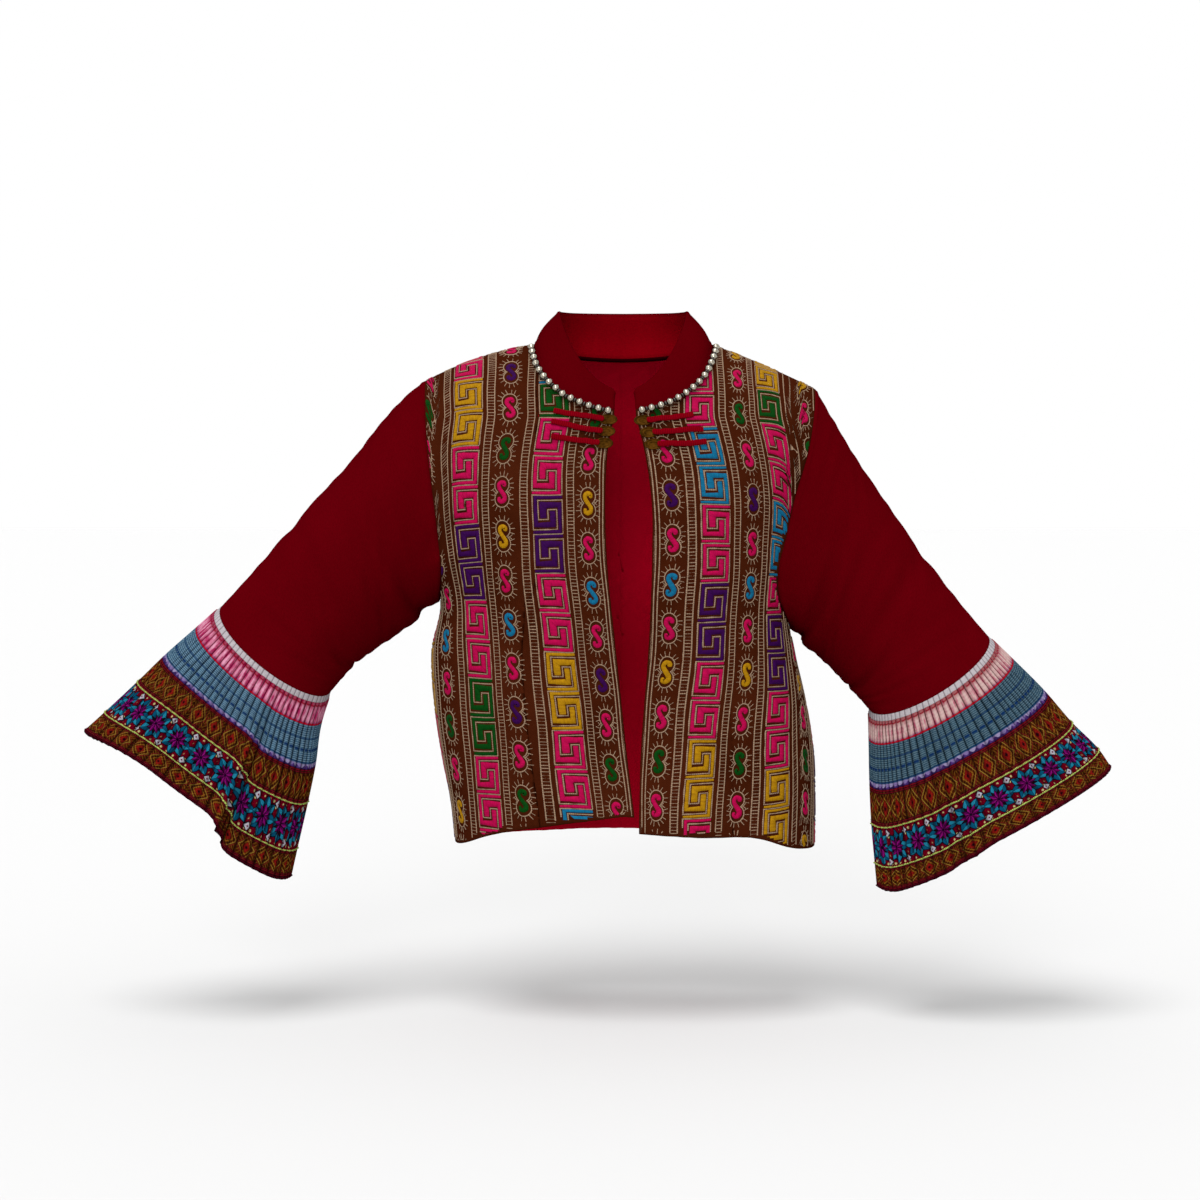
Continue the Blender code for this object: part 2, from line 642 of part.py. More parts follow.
def build_beads(side, look):
    """The row of threaded beads along one front's neckline seam."""
    path = neck_line(side, BEAD_RADIUS + BEAD_LIFT, BEAD_INSET)
    lengths = np.concatenate(((0.0,), np.cumsum(np.linalg.norm(np.diff(path, axis=0), axis=1))))
    count = round((lengths[-1] - BEAD_RADIUS) / BEAD_PITCH)
    pitch = lengths[-1] / count
    profile = ((-0.5, THREAD_RADIUS), (-0.28, BEAD_RADIUS * 0.82), (0.0, BEAD_RADIUS),
               (0.28, BEAD_RADIUS * 0.82))
    stops = [((k + 0.5 + part) * pitch, radius) for k in range(count) for part, radius in profile]
    stops.append((lengths[-1], THREAD_RADIUS))
    bm = bmesh.new()
    rings = []
    for at, radius in stops:
        centre = np.array([np.interp(at, lengths, path[:, k]) for k in range(3)])
        ahead = np.array([np.interp(at + 0.004, lengths, path[:, k]) for k in range(3)])
        behind = np.array([np.interp(at - 0.004, lengths, path[:, k]) for k in range(3)])
        forward = unit(ahead - behind)
        out = unit(np.cross(forward, (0.0, 0.0, 1.0)))
        up = np.cross(out, forward)
        angles = [2 * math.pi * k / BEAD_SIDES for k in range(BEAD_SIDES)]
        rings.append([bm.verts.new(centre + radius * (out * math.cos(a) + up * math.sin(a)))
                      for a in angles])
    for a, b in zip(rings, rings[1:]):
        for k in range(BEAD_SIDES):
            bm.faces.new((a[k], a[(k + 1) % BEAD_SIDES], b[(k + 1) % BEAD_SIDES], b[k]))
    bm.faces.new(rings[0])
    bm.faces.new(rings[-1])
    finish(f"bead_string_{side}", bm, look)


def build_tab(name, outer, tip, look):
    """Flat corded tab that follows the front and climbs over the disc at its tip."""
    stations = 7
    bm = bmesh.new()
    rings = []
    for k in range(stations):
        share = k / (stations - 1)
        x, z = (outer[i] + (tip[i] - outer[i]) * share for i in (0, 1))
        normal = front_normal(x, z)
        run = unit(front_point(*tip) - front_point(*outer))
        side = unit(np.cross(normal, run))
        climb = min(max((share - 0.55) / 0.2, 0.0), 1.0)
        lift = TAB_LIFT + climb * (DISC_LIFT + DISC_THICKNESS)
        half = TAB_WIDTH / 2 * (0.6 if k in (0, stations - 1) else 1.0)
        middle = front_point(x, z) + normal * (lift + TAB_THICKNESS / 2)
        shape = ((-1.0, -0.5), (-1.0, 0.2), (-0.5, 0.5), (0.5, 0.5), (1.0, 0.2), (1.0, -0.5))
        rings.append([bm.verts.new(middle + side * half * a + normal * TAB_THICKNESS * b)
                      for a, b in shape])
    for a, b in zip(rings, rings[1:]):
        for k in range(len(a)):
            bm.faces.new((a[k], a[(k + 1) % len(a)], b[(k + 1) % len(a)], b[k]))
    bm.faces.new(rings[0])
    bm.faces.new(rings[-1])
    bmesh.ops.triangulate(bm, faces=bm.faces)
    finish(name, bm, look)


def build_disc(name, tip, toward, look):
    """Oval metal disc under a tab's tip, near the centre front edge."""
    x, z = tip[0] + toward * DISC_WIDTH * 0.18, tip[1]
    normal = front_normal(x, z)
    across = unit(np.cross((0.0, 0.0, 1.0), normal))
    up = np.cross(normal, across)
    base = front_point(x, z) + normal * DISC_LIFT
    sides = 16
    bm = bmesh.new()
    rings = []
    for level in (0.0, DISC_THICKNESS):
        rings.append([bm.verts.new(base + normal * level
                                   + across * DISC_WIDTH / 2 * math.cos(2 * math.pi * k / sides)
                                   + up * DISC_HEIGHT / 2 * math.sin(2 * math.pi * k / sides))
                      for k in range(sides)])
    for k in range(sides):
        n = (k + 1) % sides
        bm.faces.new((rings[0][k], rings[0][n], rings[1][n], rings[1][k]))
    bm.faces.new(rings[0])
    bm.faces.new(rings[1])
    finish(name, bm, look)


def main():
    for old in list(bpy.data.objects):
        bpy.data.objects.remove(old)
    brown = material("brown embroidered cotton", (0.085, 0.030, 0.012), 0.85)
    red = material("crimson lining", (0.170, 0.003, 0.008), 0.75)
    crimson = material("dark crimson cotton", (0.105, 0.002, 0.004), 0.80)
    looks = {
        "tape": material("white tape", (0.62, 0.60, 0.60), 0.85),
        "pink": material("pink tie-dye", (0.62, 0.20, 0.28), 0.85),
        "batik": material("blue batik", (0.22, 0.34, 0.48), 0.85),
        "border": material("figured border", (0.13, 0.04, 0.02), 0.85),
    }
    silver = material("silver bead", (0.75, 0.75, 0.74), 0.25, 1.0)
    cord = material("red cord", (0.30, 0.004, 0.010), 0.80)
    brass = material("old brass", (0.30, 0.24, 0.05), 0.45, 1.0)

    seams = build_body(brown, red)
    build_collar(seams, crimson)
    for side in ("left", "right"):
        build_beads(side, silver)
        build_sleeve(side, seams, crimson)
        build_cuff(side, looks)
        for number, tab in enumerate(TABS[side], 1):
            build_tab(f"tab_{side}_{number}", tab["outer"], tab["tip"], cord)
            build_disc(f"disc_{side}_{number}", tab["tip"], -SIGN[side], brass)


main()
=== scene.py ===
import math

import bmesh
import bpy
import numpy as np
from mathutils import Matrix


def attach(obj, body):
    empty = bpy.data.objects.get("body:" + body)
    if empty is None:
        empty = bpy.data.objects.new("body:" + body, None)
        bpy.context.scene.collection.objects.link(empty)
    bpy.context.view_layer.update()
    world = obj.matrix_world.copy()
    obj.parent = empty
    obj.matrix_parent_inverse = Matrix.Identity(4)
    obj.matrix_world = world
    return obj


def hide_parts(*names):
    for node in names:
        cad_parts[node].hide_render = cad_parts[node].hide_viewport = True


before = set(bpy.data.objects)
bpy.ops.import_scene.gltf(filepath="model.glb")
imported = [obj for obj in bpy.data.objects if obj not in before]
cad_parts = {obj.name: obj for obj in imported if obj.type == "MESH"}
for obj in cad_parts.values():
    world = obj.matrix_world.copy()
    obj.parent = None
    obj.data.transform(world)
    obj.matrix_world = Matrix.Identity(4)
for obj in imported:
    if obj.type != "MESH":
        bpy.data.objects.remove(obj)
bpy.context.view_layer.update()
bpy.ops.object.select_all(action="DESELECT")
signOf = {"left": -1.0, "right": 1.0}
print("jacket: frame loaded")


# small helpers

def unit(v):
    return v / np.maximum(np.linalg.norm(v, axis=-1, keepdims=True), 1e-12)


def curve(keys, values, at):
    # smooth curve through a table, level beyond its ends
    keys, values = np.asarray(keys, float), np.asarray(values, float)
    at = np.clip(np.asarray(at, float), keys[0], keys[-1])
    slopes = np.gradient(values, keys)
    k = np.clip(np.searchsorted(keys, at) - 1, 0, len(keys) - 2)
    span = keys[k + 1] - keys[k]
    t = (at - keys[k]) / span
    return (values[k] * (2 * t**3 - 3 * t**2 + 1) + slopes[k] * span * (t**3 - 2 * t**2 + t)
            + values[k + 1] * (3 * t**2 - 2 * t**3) + slopes[k + 1] * span * (t**3 - t**2))


def ramp(value):
    value = np.clip(value, 0.0, 1.0)
    return value * value * (3 - 2 * value)


def gridLookup(table, rows, columns, atRow, atColumn):
    # bilinear reading of an evenly spaced table
    r = np.clip((atRow - rows[0]) / (rows[1] - rows[0]), 0, len(rows) - 1.001)
    c = np.clip((atColumn - columns[0]) / (columns[1] - columns[0]), 0, len(columns) - 1.001)
    i, j = r.astype(int), c.astype(int)
    fr, fc = r - i, c - j
    return (table[i, j] * (1 - fr) * (1 - fc) + table[i + 1, j] * fr * (1 - fc)
            + table[i, j + 1] * (1 - fr) * fc + table[i + 1, j + 1] * fr * fc)


def wobble(seed, size):
    return np.random.default_rng(seed).uniform(-1.0, 1.0, size)


# materials: a Wire is one socket that takes part in arithmetic, a Finish is one material

class Wire:
    def __init__(self, finish, socket):
        self.finish, self.socket = finish, socket

    def math(self, operation, *values):
        return self.finish.node("ShaderNodeMath", {"operation": operation}, dict(enumerate(values)))

    def __add__(self, other):
        return self.math("ADD", self, other)

    def __radd__(self, other):
        return self.math("ADD", other, self)

    def __sub__(self, other):
        return self.math("SUBTRACT", self, other)

    def __rsub__(self, other):
        return self.math("SUBTRACT", other, self)

    def __mul__(self, other):
        return self.math("MULTIPLY", self, other)

    def __rmul__(self, other):
        return self.math("MULTIPLY", other, self)

    def __truediv__(self, other):
        return self.math("DIVIDE", self, other)

    def __pow__(self, other):
        return self.math("POWER", self, other)

    def __abs__(self):
        return self.math("ABSOLUTE", self)

    def sin(self):
        return self.math("SINE", self)

    def cos(self):
        return self.math("COSINE", self)

    def fraction(self):
        return self.math("FRACT", self)

    def floor(self):
        return self.math("FLOOR", self)

    def above(self, edge, soft=0.02):
        return self.finish.node("ShaderNodeMapRange", {"interpolation_type": "SMOOTHSTEP"},
                                {0: self, 1: edge - soft, 2: edge + soft, 3: 0.0, 4: 1.0})

    def below(self, edge, soft=0.02):
        return 1 - self.above(edge, soft)

    def near(self, middle, half, soft=0.02):
        return abs(self - middle).below(half, soft)

    def either(self, other):
        return self.math("MAXIMUM", self, other)

    def lower(self, other):
        return self.math("MINIMUM", self, other)


class Finish:
    def __init__(self, name, roughness=0.85, sheen=0.0, metallic=0.0, specular=0.0):
        self.made = bpy.data.materials.new(name)
        self.made.use_nodes = True
        self.tree = self.made.node_tree
        self.shader = self.tree.nodes["Principled BSDF"]
        self.shader.inputs["Roughness"].default_value = roughness
        self.shader.inputs["Metallic"].default_value = metallic
        self.shader.inputs["Specular IOR Level"].default_value = specular
        self.shader.inputs["Sheen Weight"].default_value = sheen
        self.shader.inputs["Sheen Roughness"].default_value = 0.5

    def node(self, kind, settings, sockets, output=0):
        made = self.tree.nodes.new(kind)
        for key, value in settings.items():
            if key == "stops":
                for spot, (at, colour) in enumerate(value):
                    stop = made.color_ramp.elements[spot] if spot < 2 else made.color_ramp.elements.new(at)
                    stop.position, stop.color = at, (*colour, 1.0)
            else:
                setattr(made, key, value)
        for key, value in sockets.items():
            if isinstance(value, Wire):
                self.tree.links.new(value.socket, made.inputs[key])
            elif value is not None:
                made.inputs[key].default_value = value
        return Wire(self, made.outputs[output])

    def map(self, name="cloth"):
        uv = self.node("ShaderNodeUVMap", {"uv_map": name}, {})
        parts = self.node("ShaderNodeSeparateXYZ", {}, {0: uv})
        return parts, Wire(self, parts.socket.node.outputs[1]), uv

    def place(self):
        return self.node("ShaderNodeTexCoord", {}, {}, "Object")

    def noise(self, where, scale, detail=2.0, rough=0.5, stretch=None):
        if stretch:
            where = self.node("ShaderNodeMapping", {}, {0: where, 3: stretch})
        return self.node("ShaderNodeTexNoise", {}, {"Vector": where, "Scale": scale, "Detail": detail,
                                                    "Roughness": rough})

    def mix(self, share, first, second):
        first = (*first, 1.0) if isinstance(first, tuple) else first
        second = (*second, 1.0) if isinstance(second, tuple) else second
        return self.node("ShaderNodeMix", {"data_type": "RGBA"}, {0: share, 6: first, 7: second}, 2)

    def shade(self, colour, share):
        # colour made darker or lighter by a number
        grey = self.node("ShaderNodeCombineXYZ", {}, {0: share, 1: share, 2: share})
        return self.node("ShaderNodeMix", {"data_type": "RGBA", "blend_type": "MULTIPLY"},
                         {0: 1.0, 6: colour, 7: grey}, 2)

    def finish(self, colour, height=None, depth=0.0003, roughness=None):
        if isinstance(colour, tuple):
            self.shader.inputs["Base Color"].default_value = (*colour, 1.0)
        else:
            self.tree.links.new(colour.socket, self.shader.inputs["Base Color"])
        if roughness is not None:
            self.tree.links.new(roughness.socket, self.shader.inputs["Roughness"])
        if height is not None:
            bump = self.node("ShaderNodeBump", {}, {"Strength": 1.0, "Distance": depth, "Height": height})
            self.tree.links.new(bump.socket, self.shader.inputs["Normal"])
        return self.made


def dye(red, green, blue, share=0.72):
    # a colour as the eye reads it under the studio's light, 0 to 255, made linear
    return tuple(share * ((c / 255 / 12.92) if c <= 10 else ((c / 255 + 0.055) / 1.055) ** 2.4)
                 for c in (red, green, blue))


clothLook = {
    "threadPitch": 0.00085, "weaveDepth": 0.00016,
    "brown": dye(80, 33, 15, 0.68), "brownDark": dye(56, 20, 6, 0.68),
    "crimson": dye(97, 1, 10), "crimsonDeep": dye(84, 0, 7),
    "collar": dye(92, 1, 8), "collarDeep": dye(80, 0, 6),
    # the lining's two colours use share 2.1, not 0.72: painted light, brightened to stand for the light that reaches
    # the inside of the jacket
    "lining": dye(118, 2, 19, 2.1), "liningDeep": dye(106, 0, 14, 2.1),
}


def weave(made, u, v, pitch):
    # plain weave: over and under threads
    across, along = (u * (math.pi / pitch)).sin(), (v * (math.pi / pitch)).sin()
    checks = (u * (math.pi / pitch)).cos() * (v * (math.pi / pitch)).cos()
    return abs(across) * 0.5 + abs(along) * 0.5 + checks * 0.25


def wovenCloth(name, colour, deep, pitch=clothLook["threadPitch"], depth=clothLook["weaveDepth"],
               sheen=0.0, contrast=0.30, mottle=0.5):
    made = Finish(name, 0.86, sheen)
    u, v, uv = made.map()
    threads = weave(made, u, v, pitch)
    slubs = made.noise(uv, 900, 1.0, 0.5, (0.25, 1.0, 1.0))
    patches = made.noise(made.place(), 9, 3.0, 0.55)
    tone = made.mix((patches - 0.5) * (2.4 * mottle) + 0.5, deep, colour)
    tone = made.shade(tone, 1 - contrast + threads * contrast + (slubs - 0.5) * 0.35)
    return made.finish(tone, threads + slubs * 0.6, depth, 0.8 + patches * 0.12)


threadLook = {
    "tan": dye(186, 158, 132, 0.57), "tanDark": dye(116, 88, 66, 0.57),
    "pink": (dye(206, 4, 84, 0.57), dye(132, 0, 46, 0.57)), "purple": (dye(62, 2, 84, 0.57), dye(30, 0, 46, 0.57)),
    "yellow": (dye(196, 144, 10, 0.57), dye(128, 80, 2, 0.57)), "green": (dye(2, 76, 12, 0.57), dye(0, 40, 4, 0.57)),
    "blue": (dye(20, 122, 164, 0.57), dye(4, 68, 104, 0.57)),
    "strand": 0.00075, "depth": 0.00022,
}


def satinThread(name, bright, dark):
    # parallel strands laid across the stroke; the map runs along it
    made = Finish(name, 0.62, specular=0.04)
    u, v, uv = made.map()
    drift = made.noise(uv, 220, 2.0, 0.6)
    strands = abs(((u + v * 0.35 + drift * 0.0012) * (math.pi / threadLook["strand"])).sin())
    bundles = made.noise(uv, 520, 1.0, 0.5, (1.0, 0.22, 1.0))
    tone = made.mix(strands * 0.45 + (bundles - 0.5) * 1.3 + 0.42, dark, bright)
    return made.finish(tone, strands * 0.6 + bundles, threadLook["depth"], 0.55 + bundles * 0.25)


def couchedThread(name):
    # tan cord held by small stitches
    made = Finish(name, 0.8)
    u, v, uv = made.map()
    stitches = abs((u * (math.pi / 0.0019)).sin())
    drift = made.noise(uv, 300, 2.0, 0.6)
    tone = made.mix(stitches * 0.55 + drift * 0.9 - 0.12, threadLook["tanDark"], threadLook["tan"])
    return made.finish(tone, stitches + drift * 0.5, 0.0003)


threads = {"tan": couchedThread("tan_couched_thread")}
for threadName in ("pink", "purple", "yellow", "green", "blue"):
    threads[threadName] = satinThread(f"{threadName}_satin_thread", *threadLook[threadName])
brownCloth = wovenCloth("brown_ground_cotton", clothLook["brown"], clothLook["brownDark"], 0.0011,
                        0.00022, 0.0, 0.42, 0.7)
sleeveCloth = wovenCloth("crimson_sleeve_cotton", clothLook["crimson"], clothLook["crimsonDeep"])
collarCloth = wovenCloth("crimson_collar_cotton", clothLook["collar"], clothLook["collarDeep"])
brightenedLiningCloth = wovenCloth("crimson_lining_cotton_painted_light", clothLook["lining"], clothLook["liningDeep"], 0.0007,
                         0.00010, 0.0, 0.18)
# painted light: the collar's inner face is brightened (share 1.6) to stand for light falling inside the collar
brightenedCollarFacing = wovenCloth("crimson_collar_facing_painted_light", dye(107, 1, 9, 1.6), dye(94, 0, 7, 1.6))
print("jacket: cloth and thread finishes")


# shells: a thin sheet between two grids of points, [round][along], with a rounded rim

def gridArea(grid, closed):
    if closed:
        grid = np.concatenate((grid, grid[:1]))
    a, b, c, d = grid[:-1, :-1], grid[1:, :-1], grid[1:, 1:], grid[:-1, 1:]
    return (np.linalg.norm(np.cross(b - a, c - a), axis=2).sum()
            + np.linalg.norm(np.cross(c - a, d - a), axis=2).sum()) / 2


def gridNormals(points, closed, outward):
    if closed:
        across = np.roll(points, -1, axis=0) - np.roll(points, 1, axis=0)
    else:
        across = np.gradient(points, axis=0)
    normals = unit(np.cross(across, np.gradient(points, axis=1)))
    flip = np.sign((normals * outward).sum(axis=2, keepdims=True))
    return normals * np.where(flip == 0, 1, flip)


def distanceMap(points, closed):
    # cloth distances across and along a grid, metres
    line = np.concatenate((points, points[:1])) if closed else points
    across = np.linalg.norm(np.diff(line, axis=0), axis=2).mean(axis=1)
    along = np.linalg.norm(np.diff(points, axis=1), axis=2).mean(axis=0)
    u = np.concatenate(((0.0,), np.cumsum(across)))
    v = np.concatenate(((0.0,), np.cumsum(along)))
    return np.stack(np.meshgrid(u, v, indexing="ij"), axis=2)


def perimeter(around, along, closed):
    if closed:
        return [[(i, j) for i in range(around)] for j in (0, along - 1)]
    loop = [(i, 0) for i in range(around)] + [(around - 1, j) for j in range(1, along)]
    loop += [(i, along - 1) for i in range(around - 2, -1, -1)] + [(0, j) for j in range(along - 2, 0, -1)]
    return [loop]


def shell(name, outer, inner, closed, looks, maps=None, faceIn=1):
    around, along = outer.shape[:2]
    size = around * along
    index = np.arange(size).reshape(around, along)
    wrapped = np.concatenate((index, index[:1])) if closed else index
    a, b, c, d = (wrapped[:-1, :-1].ravel(), wrapped[1:, :-1].ravel(), wrapped[1:, 1:].ravel(),
                  wrapped[:-1, 1:].ravel())
    maps = maps or {"cloth": distanceMap(outer, closed)}
    columns = np.arange(wrapped.shape[0])[:, None].repeat(along, axis=1)
    rows = np.arange(along)[None, :].repeat(wrapped.shape[0], axis=0)
    ci = [g[:-1, :-1].ravel() for g in (columns, rows)]
    corners = [(ci[0], ci[1]), (ci[0] + 1, ci[1]), (ci[0] + 1, ci[1] + 1), (ci[0], ci[1] + 1)]
    faces = [np.stack((a, b, c, d), axis=1), np.stack((d, c, b, a), axis=1) + size]
    spots = [np.stack([i * along + j for i, j in corners], axis=1)]
    spots.append(spots[0][:, ::-1])
    points = [outer.reshape(-1, 3), inner.reshape(-1, 3)]
    rims, rimSpots = [], []
    start = 2 * size
    for loop in perimeter(around, along, closed):
        middle = np.array([(outer[s] + inner[s]) / 2 for s in loop])
        away = []
        for i, j in loop:
            out = np.zeros(3)
            if j == 0:
                out += unit(outer[i, 0] - outer[i, 1])
            if j == along - 1:
                out += unit(outer[i, -1] - outer[i, -2])
            if not closed and i == 0:
                out += unit(outer[0, j] - outer[1, j])
            if not closed and i == around - 1:
                out += unit(outer[-1, j] - outer[-2, j])
            away.append(unit(out))
        thick = np.linalg.norm(outer[loop[0]] - inner[loop[0]])
        points.append(middle + np.array(away) * thick * 0.45)
        ids = np.array([index[s] for s in loop])
        after = np.roll(ids, -1)
        rim = np.arange(len(loop)) + start
        rimAfter = np.roll(rim, -1)
        rims += [np.stack((ids, after, rimAfter, rim), axis=1),
                 np.stack((rim, rimAfter, after + size, ids + size), axis=1)]
        spot = np.array([i * along + j for i, j in loop])
        spotAfter = np.roll(spot, -1)
        if closed:
            spotAfter = spot + along
        rimSpots += [np.stack((spot, spotAfter, spotAfter, spot), axis=1)] * 2
        start += len(loop)
    faces = np.concatenate(faces + rims)
    spots = np.concatenate(spots + rimSpots)
    mesh = bpy.data.meshes.new(name)
    mesh.from_pydata(np.concatenate(points), [], faces.tolist())
    for key, grid in maps.items():
        layer = mesh.uv_layers.new(name=key)
        flat = grid.reshape(-1, 2)
        layer.data.foreach_set("uv", flat[spots.ravel()].astype(np.float32).ravel())
    half = len(spots[:0]) + len(a)
    inside = np.zeros(len(faces), int)
    inside[half:2 * half] = faceIn if len(looks) > 1 else 0
    for look in looks:
        mesh.materials.append(look)
    mesh.polygons.foreach_set("material_index", inside)
    bm = bmesh.new()
    bm.from_mesh(mesh)
    bmesh.ops.recalc_face_normals(bm, faces=bm.faces)
    bm.to_mesh(mesh)
    bm.free()
    mesh.shade_smooth()
    made = bpy.data.objects.new(name, mesh)
    bpy.context.collection.objects.link(made)
    return made


def sewn(piece, slotName, *nodes):
    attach(piece, "root")
    if nodes:
        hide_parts(*nodes)


def cutSheet(grid, closed):
    # the cut's area, all round on a tube; worked out and not used
    area = gridArea(grid, closed)


# the body: fronts, back and lining

body = {
    "neckHalfWidth": 0.0965, "frontNeckDrop": 0.0745, "backNeckDrop": 0.016,
    "shoulderSlope": {"left": 0.14, "right": 0.36}, "shoulderCurve": {"left": 1.6, "right": 0.6},
    "neckRise": 0.15, "arch": {"front": 0.11, "back": 0.09}, "middle": (0.0, 0.0, -0.35),
    "roundness": 2.3, "frontWall": 0.0018, "backWall": 0.0016, "liningWall": 0.0010, "plyGap": 0.0003,
    "z": (-0.556, -0.500, -0.450, -0.390, -0.335, -0.280, -0.230, -0.170, -0.110, -0.060, 0.000),
    "left": (0.1840, 0.1895, 0.1992, 0.2078, 0.2100, 0.2002, 0.2190, 0.2320, 0.2400, 0.2410, 0.2300),
    "right": (0.2112, 0.2115, 0.2100, 0.2005, 0.1880, 0.1800, 0.1945, 0.2085, 0.2250, 0.2340, 0.2300),
    "front": (0.1220, 0.1190, 0.1160, 0.1130, 0.1140, 0.1180, 0.1190, 0.1160, 0.1060, 0.0960, 0.0860),
    "back": (0.1180, 0.1130, 0.1070, 0.1000, 0.0970, 0.1000, 0.1050, 0.1060, 0.1010, 0.0920, 0.0830),
    "columnsAtNeck": 42, "columnsAtShoulder": 32, "rowsBelow": 72, "rowsAbove": 64,
}
armhole = {
    "z": (-0.309, -0.279, -0.245, -0.210, -0.170, -0.115, -0.070, -0.040),
    "left": (0.2046, 0.2004, 0.1975, 0.2000, 0.2046, 0.2115, 0.2150, 0.2165),
    "right": (0.1834, 0.1695, 0.1672, 0.1750, 0.1837, 0.2002, 0.2079, 0.2112),
    "underarm": {"left": -0.279, "right": -0.309}, "tip": {"left": 0.2165, "right": 0.2112},
}
opening = {
    "z": (-0.536, -0.435, -0.335, -0.236, -0.170, -0.115, -0.080),
    "left": (0.0140, 0.0020, -0.0085, -0.0185, -0.0205, -0.0175, -0.0110),
    "right": (0.0165, 0.0190, 0.0265, 0.0305, 0.0300, 0.0220, 0.0135),
}
hem = {
    "x": (0.000, 0.080, 0.147, 0.184, 0.215),
    "left": (-0.5045, -0.5160, -0.5300, -0.5450, -0.5490),
    "right": (-0.5220, -0.5280, -0.5320, -0.5450, -0.5500),
    "back": (-0.5460, -0.5470, -0.5480, -0.5480, -0.5500),
}
creases = {
    # from (x0, z0) to (x1, z1), width and depth of each soft trough
    "front": (
        (0.146, -0.165, 0.172, -0.300, 0.016, 0.009), (-0.172, -0.178, -0.196, -0.232, 0.013, 0.006),
        (0.105, -0.420, 0.132, -0.545, 0.030, 0.006), (-0.100, -0.400, -0.120, -0.540, 0.032, 0.005),
    ),
    "back": (
        (-0.150, -0.130, -0.125, -0.400, 0.022, 0.006), (-0.070, -0.300, -0.085, -0.549, 0.028, 0.006),
        (0.020, -0.240, 0.012, -0.549, 0.030, 0.005), (0.150, -0.150, 0.120, -0.380, 0.022, 0.006),
        (0.095, -0.360, 0.120, -0.549, 0.026, 0.006), (-0.020, -0.050, 0.020, -0.060, 0.030, 0.000),
    ),
    "pucker": 0.0005,
}


def halfWidth(side, z):
    return curve(body["z"], body[side], z)


def angleAt(side, x, z):
    share = np.minimum(np.abs(x) / halfWidth(side, z), 1.0)
    return np.copysign(np.arcsin(share ** (body["roundness"] / 2)), x * signOf[side])


def ridge(x):
    out = np.abs(x) - body["neckHalfWidth"]
    slope = np.where(x < 0, body["shoulderSlope"]["left"], body["shoulderSlope"]["right"])
    bend = np.where(x < 0, body["shoulderCurve"]["left"], body["shoulderCurve"]["right"])
    return np.where(out < 0, -body["neckRise"] * out, -slope * out - bend * out**2)


def drape(face, x, z):
    total = np.zeros(np.broadcast(x, z).shape)
    for x0, z0, x1, z1, width, depth in creases[face]:
        along = (z - z0) / (z1 - z0)
        off = (x - x0 - along * (x1 - x0)) / width
        held = np.sin(math.pi * np.clip(along, 0.0, 1.0 if face == "front" else 0.62))
        total = total + np.where((along > 0) & (along < 1), depth * held * np.exp(-off * off), 0.0)
    pucker = np.sin(x * 311 + 2.1 * np.sin(z * 83)) * np.sin(z * 263 + 1.7 * np.sin(x * 97))
    return total + creases["pucker"] * pucker


def bodyPoint(side, face, angle, z, reach=None):
    # outer surface; reach is the share of the full depth under the shoulder's arch
    power = 2 / body["roundness"]
    x = signOf[side] * halfWidth(side, z) * np.copysign(np.abs(np.sin(angle)) ** power, angle)
    roundOff = np.abs(np.cos(angle)) ** power
    if reach is None:
        down = np.clip((ridge(x) - z) / body["arch"][face], 0.0, 1.0)
        reach = np.sqrt(1 - (1 - down) ** 2)
    down = 1 - np.sqrt(np.maximum(1 - reach**2, 0.0))
    depth = curve(body["z"], body[face], z) * roundOff * reach
    pull = drape(face, x, z) * np.minimum(down * 4, 1.0) * np.minimum(roundOff * 3, 1.0)
    y = -depth + pull - body["plyGap"] / 2 if face == "front" else depth - pull + body["plyGap"] / 2
    return np.stack(np.broadcast_arrays(x, y, z), axis=-1)


def edgeAngle(side, face, z):
    if face == "back":
        return np.zeros_like(z)
    return angleAt(side, curve(opening["z"], opening[side], z), z)


def sideAngle(side, z):
    cut = angleAt(side, signOf[side] * curve(armhole["z"], armhole[side], z), z)
    return np.where(z <= armhole["underarm"][side], math.pi / 2, cut)


def topHeight(face, x):
    drop = body["frontNeckDrop"] if face == "front" else body["backNeckDrop"]
    share = np.clip(np.abs(x) / body["neckHalfWidth"], 0, 1)
    return np.where(np.abs(x) >= body["neckHalfWidth"] - 1e-9, ridge(x), -drop * np.sqrt(1 - share**2))


def columnTops(side, face):
    start = 0.0
    wide = body["neckHalfWidth"]
    if face == "front":
        start = math.asin(abs(float(curve(opening["z"], opening[side], -body["frontNeckDrop"]))) / wide)
    neck = wide * np.sin(start + (math.pi / 2 - start) * np.arange(body["columnsAtNeck"]) / body["columnsAtNeck"])
    count = body["columnsAtShoulder"]
    return np.concatenate((neck, wide + (armhole["tip"][side] - wide) * np.arange(count + 1) / count))


def columnAngle(side, face, share, z):
    edge = edgeAngle(side, face, z)
    return edge + share * (sideAngle(side, z) - edge)


def hemHeight(side, face, share):
    name = side if face == "front" else "back"
    z = np.full(share.shape, hem[name][0])
    for _ in range(6):
        x = bodyPoint(side, face, columnAngle(side, face, share, z), z)[..., 0]
        z = curve(hem["x"], hem[name], np.abs(x))
    return z


def rowShares(side):
    low = float(hemHeight(side, "front", np.array([1.0]))[0])
    high = float(ridge(np.array(signOf[side] * armhole["tip"][side])))
    under = armhole["underarm"][side]
    below = low + (under - low) * np.arange(body["rowsBelow"]) / body["rowsBelow"]
    turn = math.pi * np.arange(body["rowsAbove"] + 1) / body["rowsAbove"]
    above = under + (high - under) * (1 - np.cos(turn)) / 2
    return (np.concatenate((below, above)) - low) / (high - low)


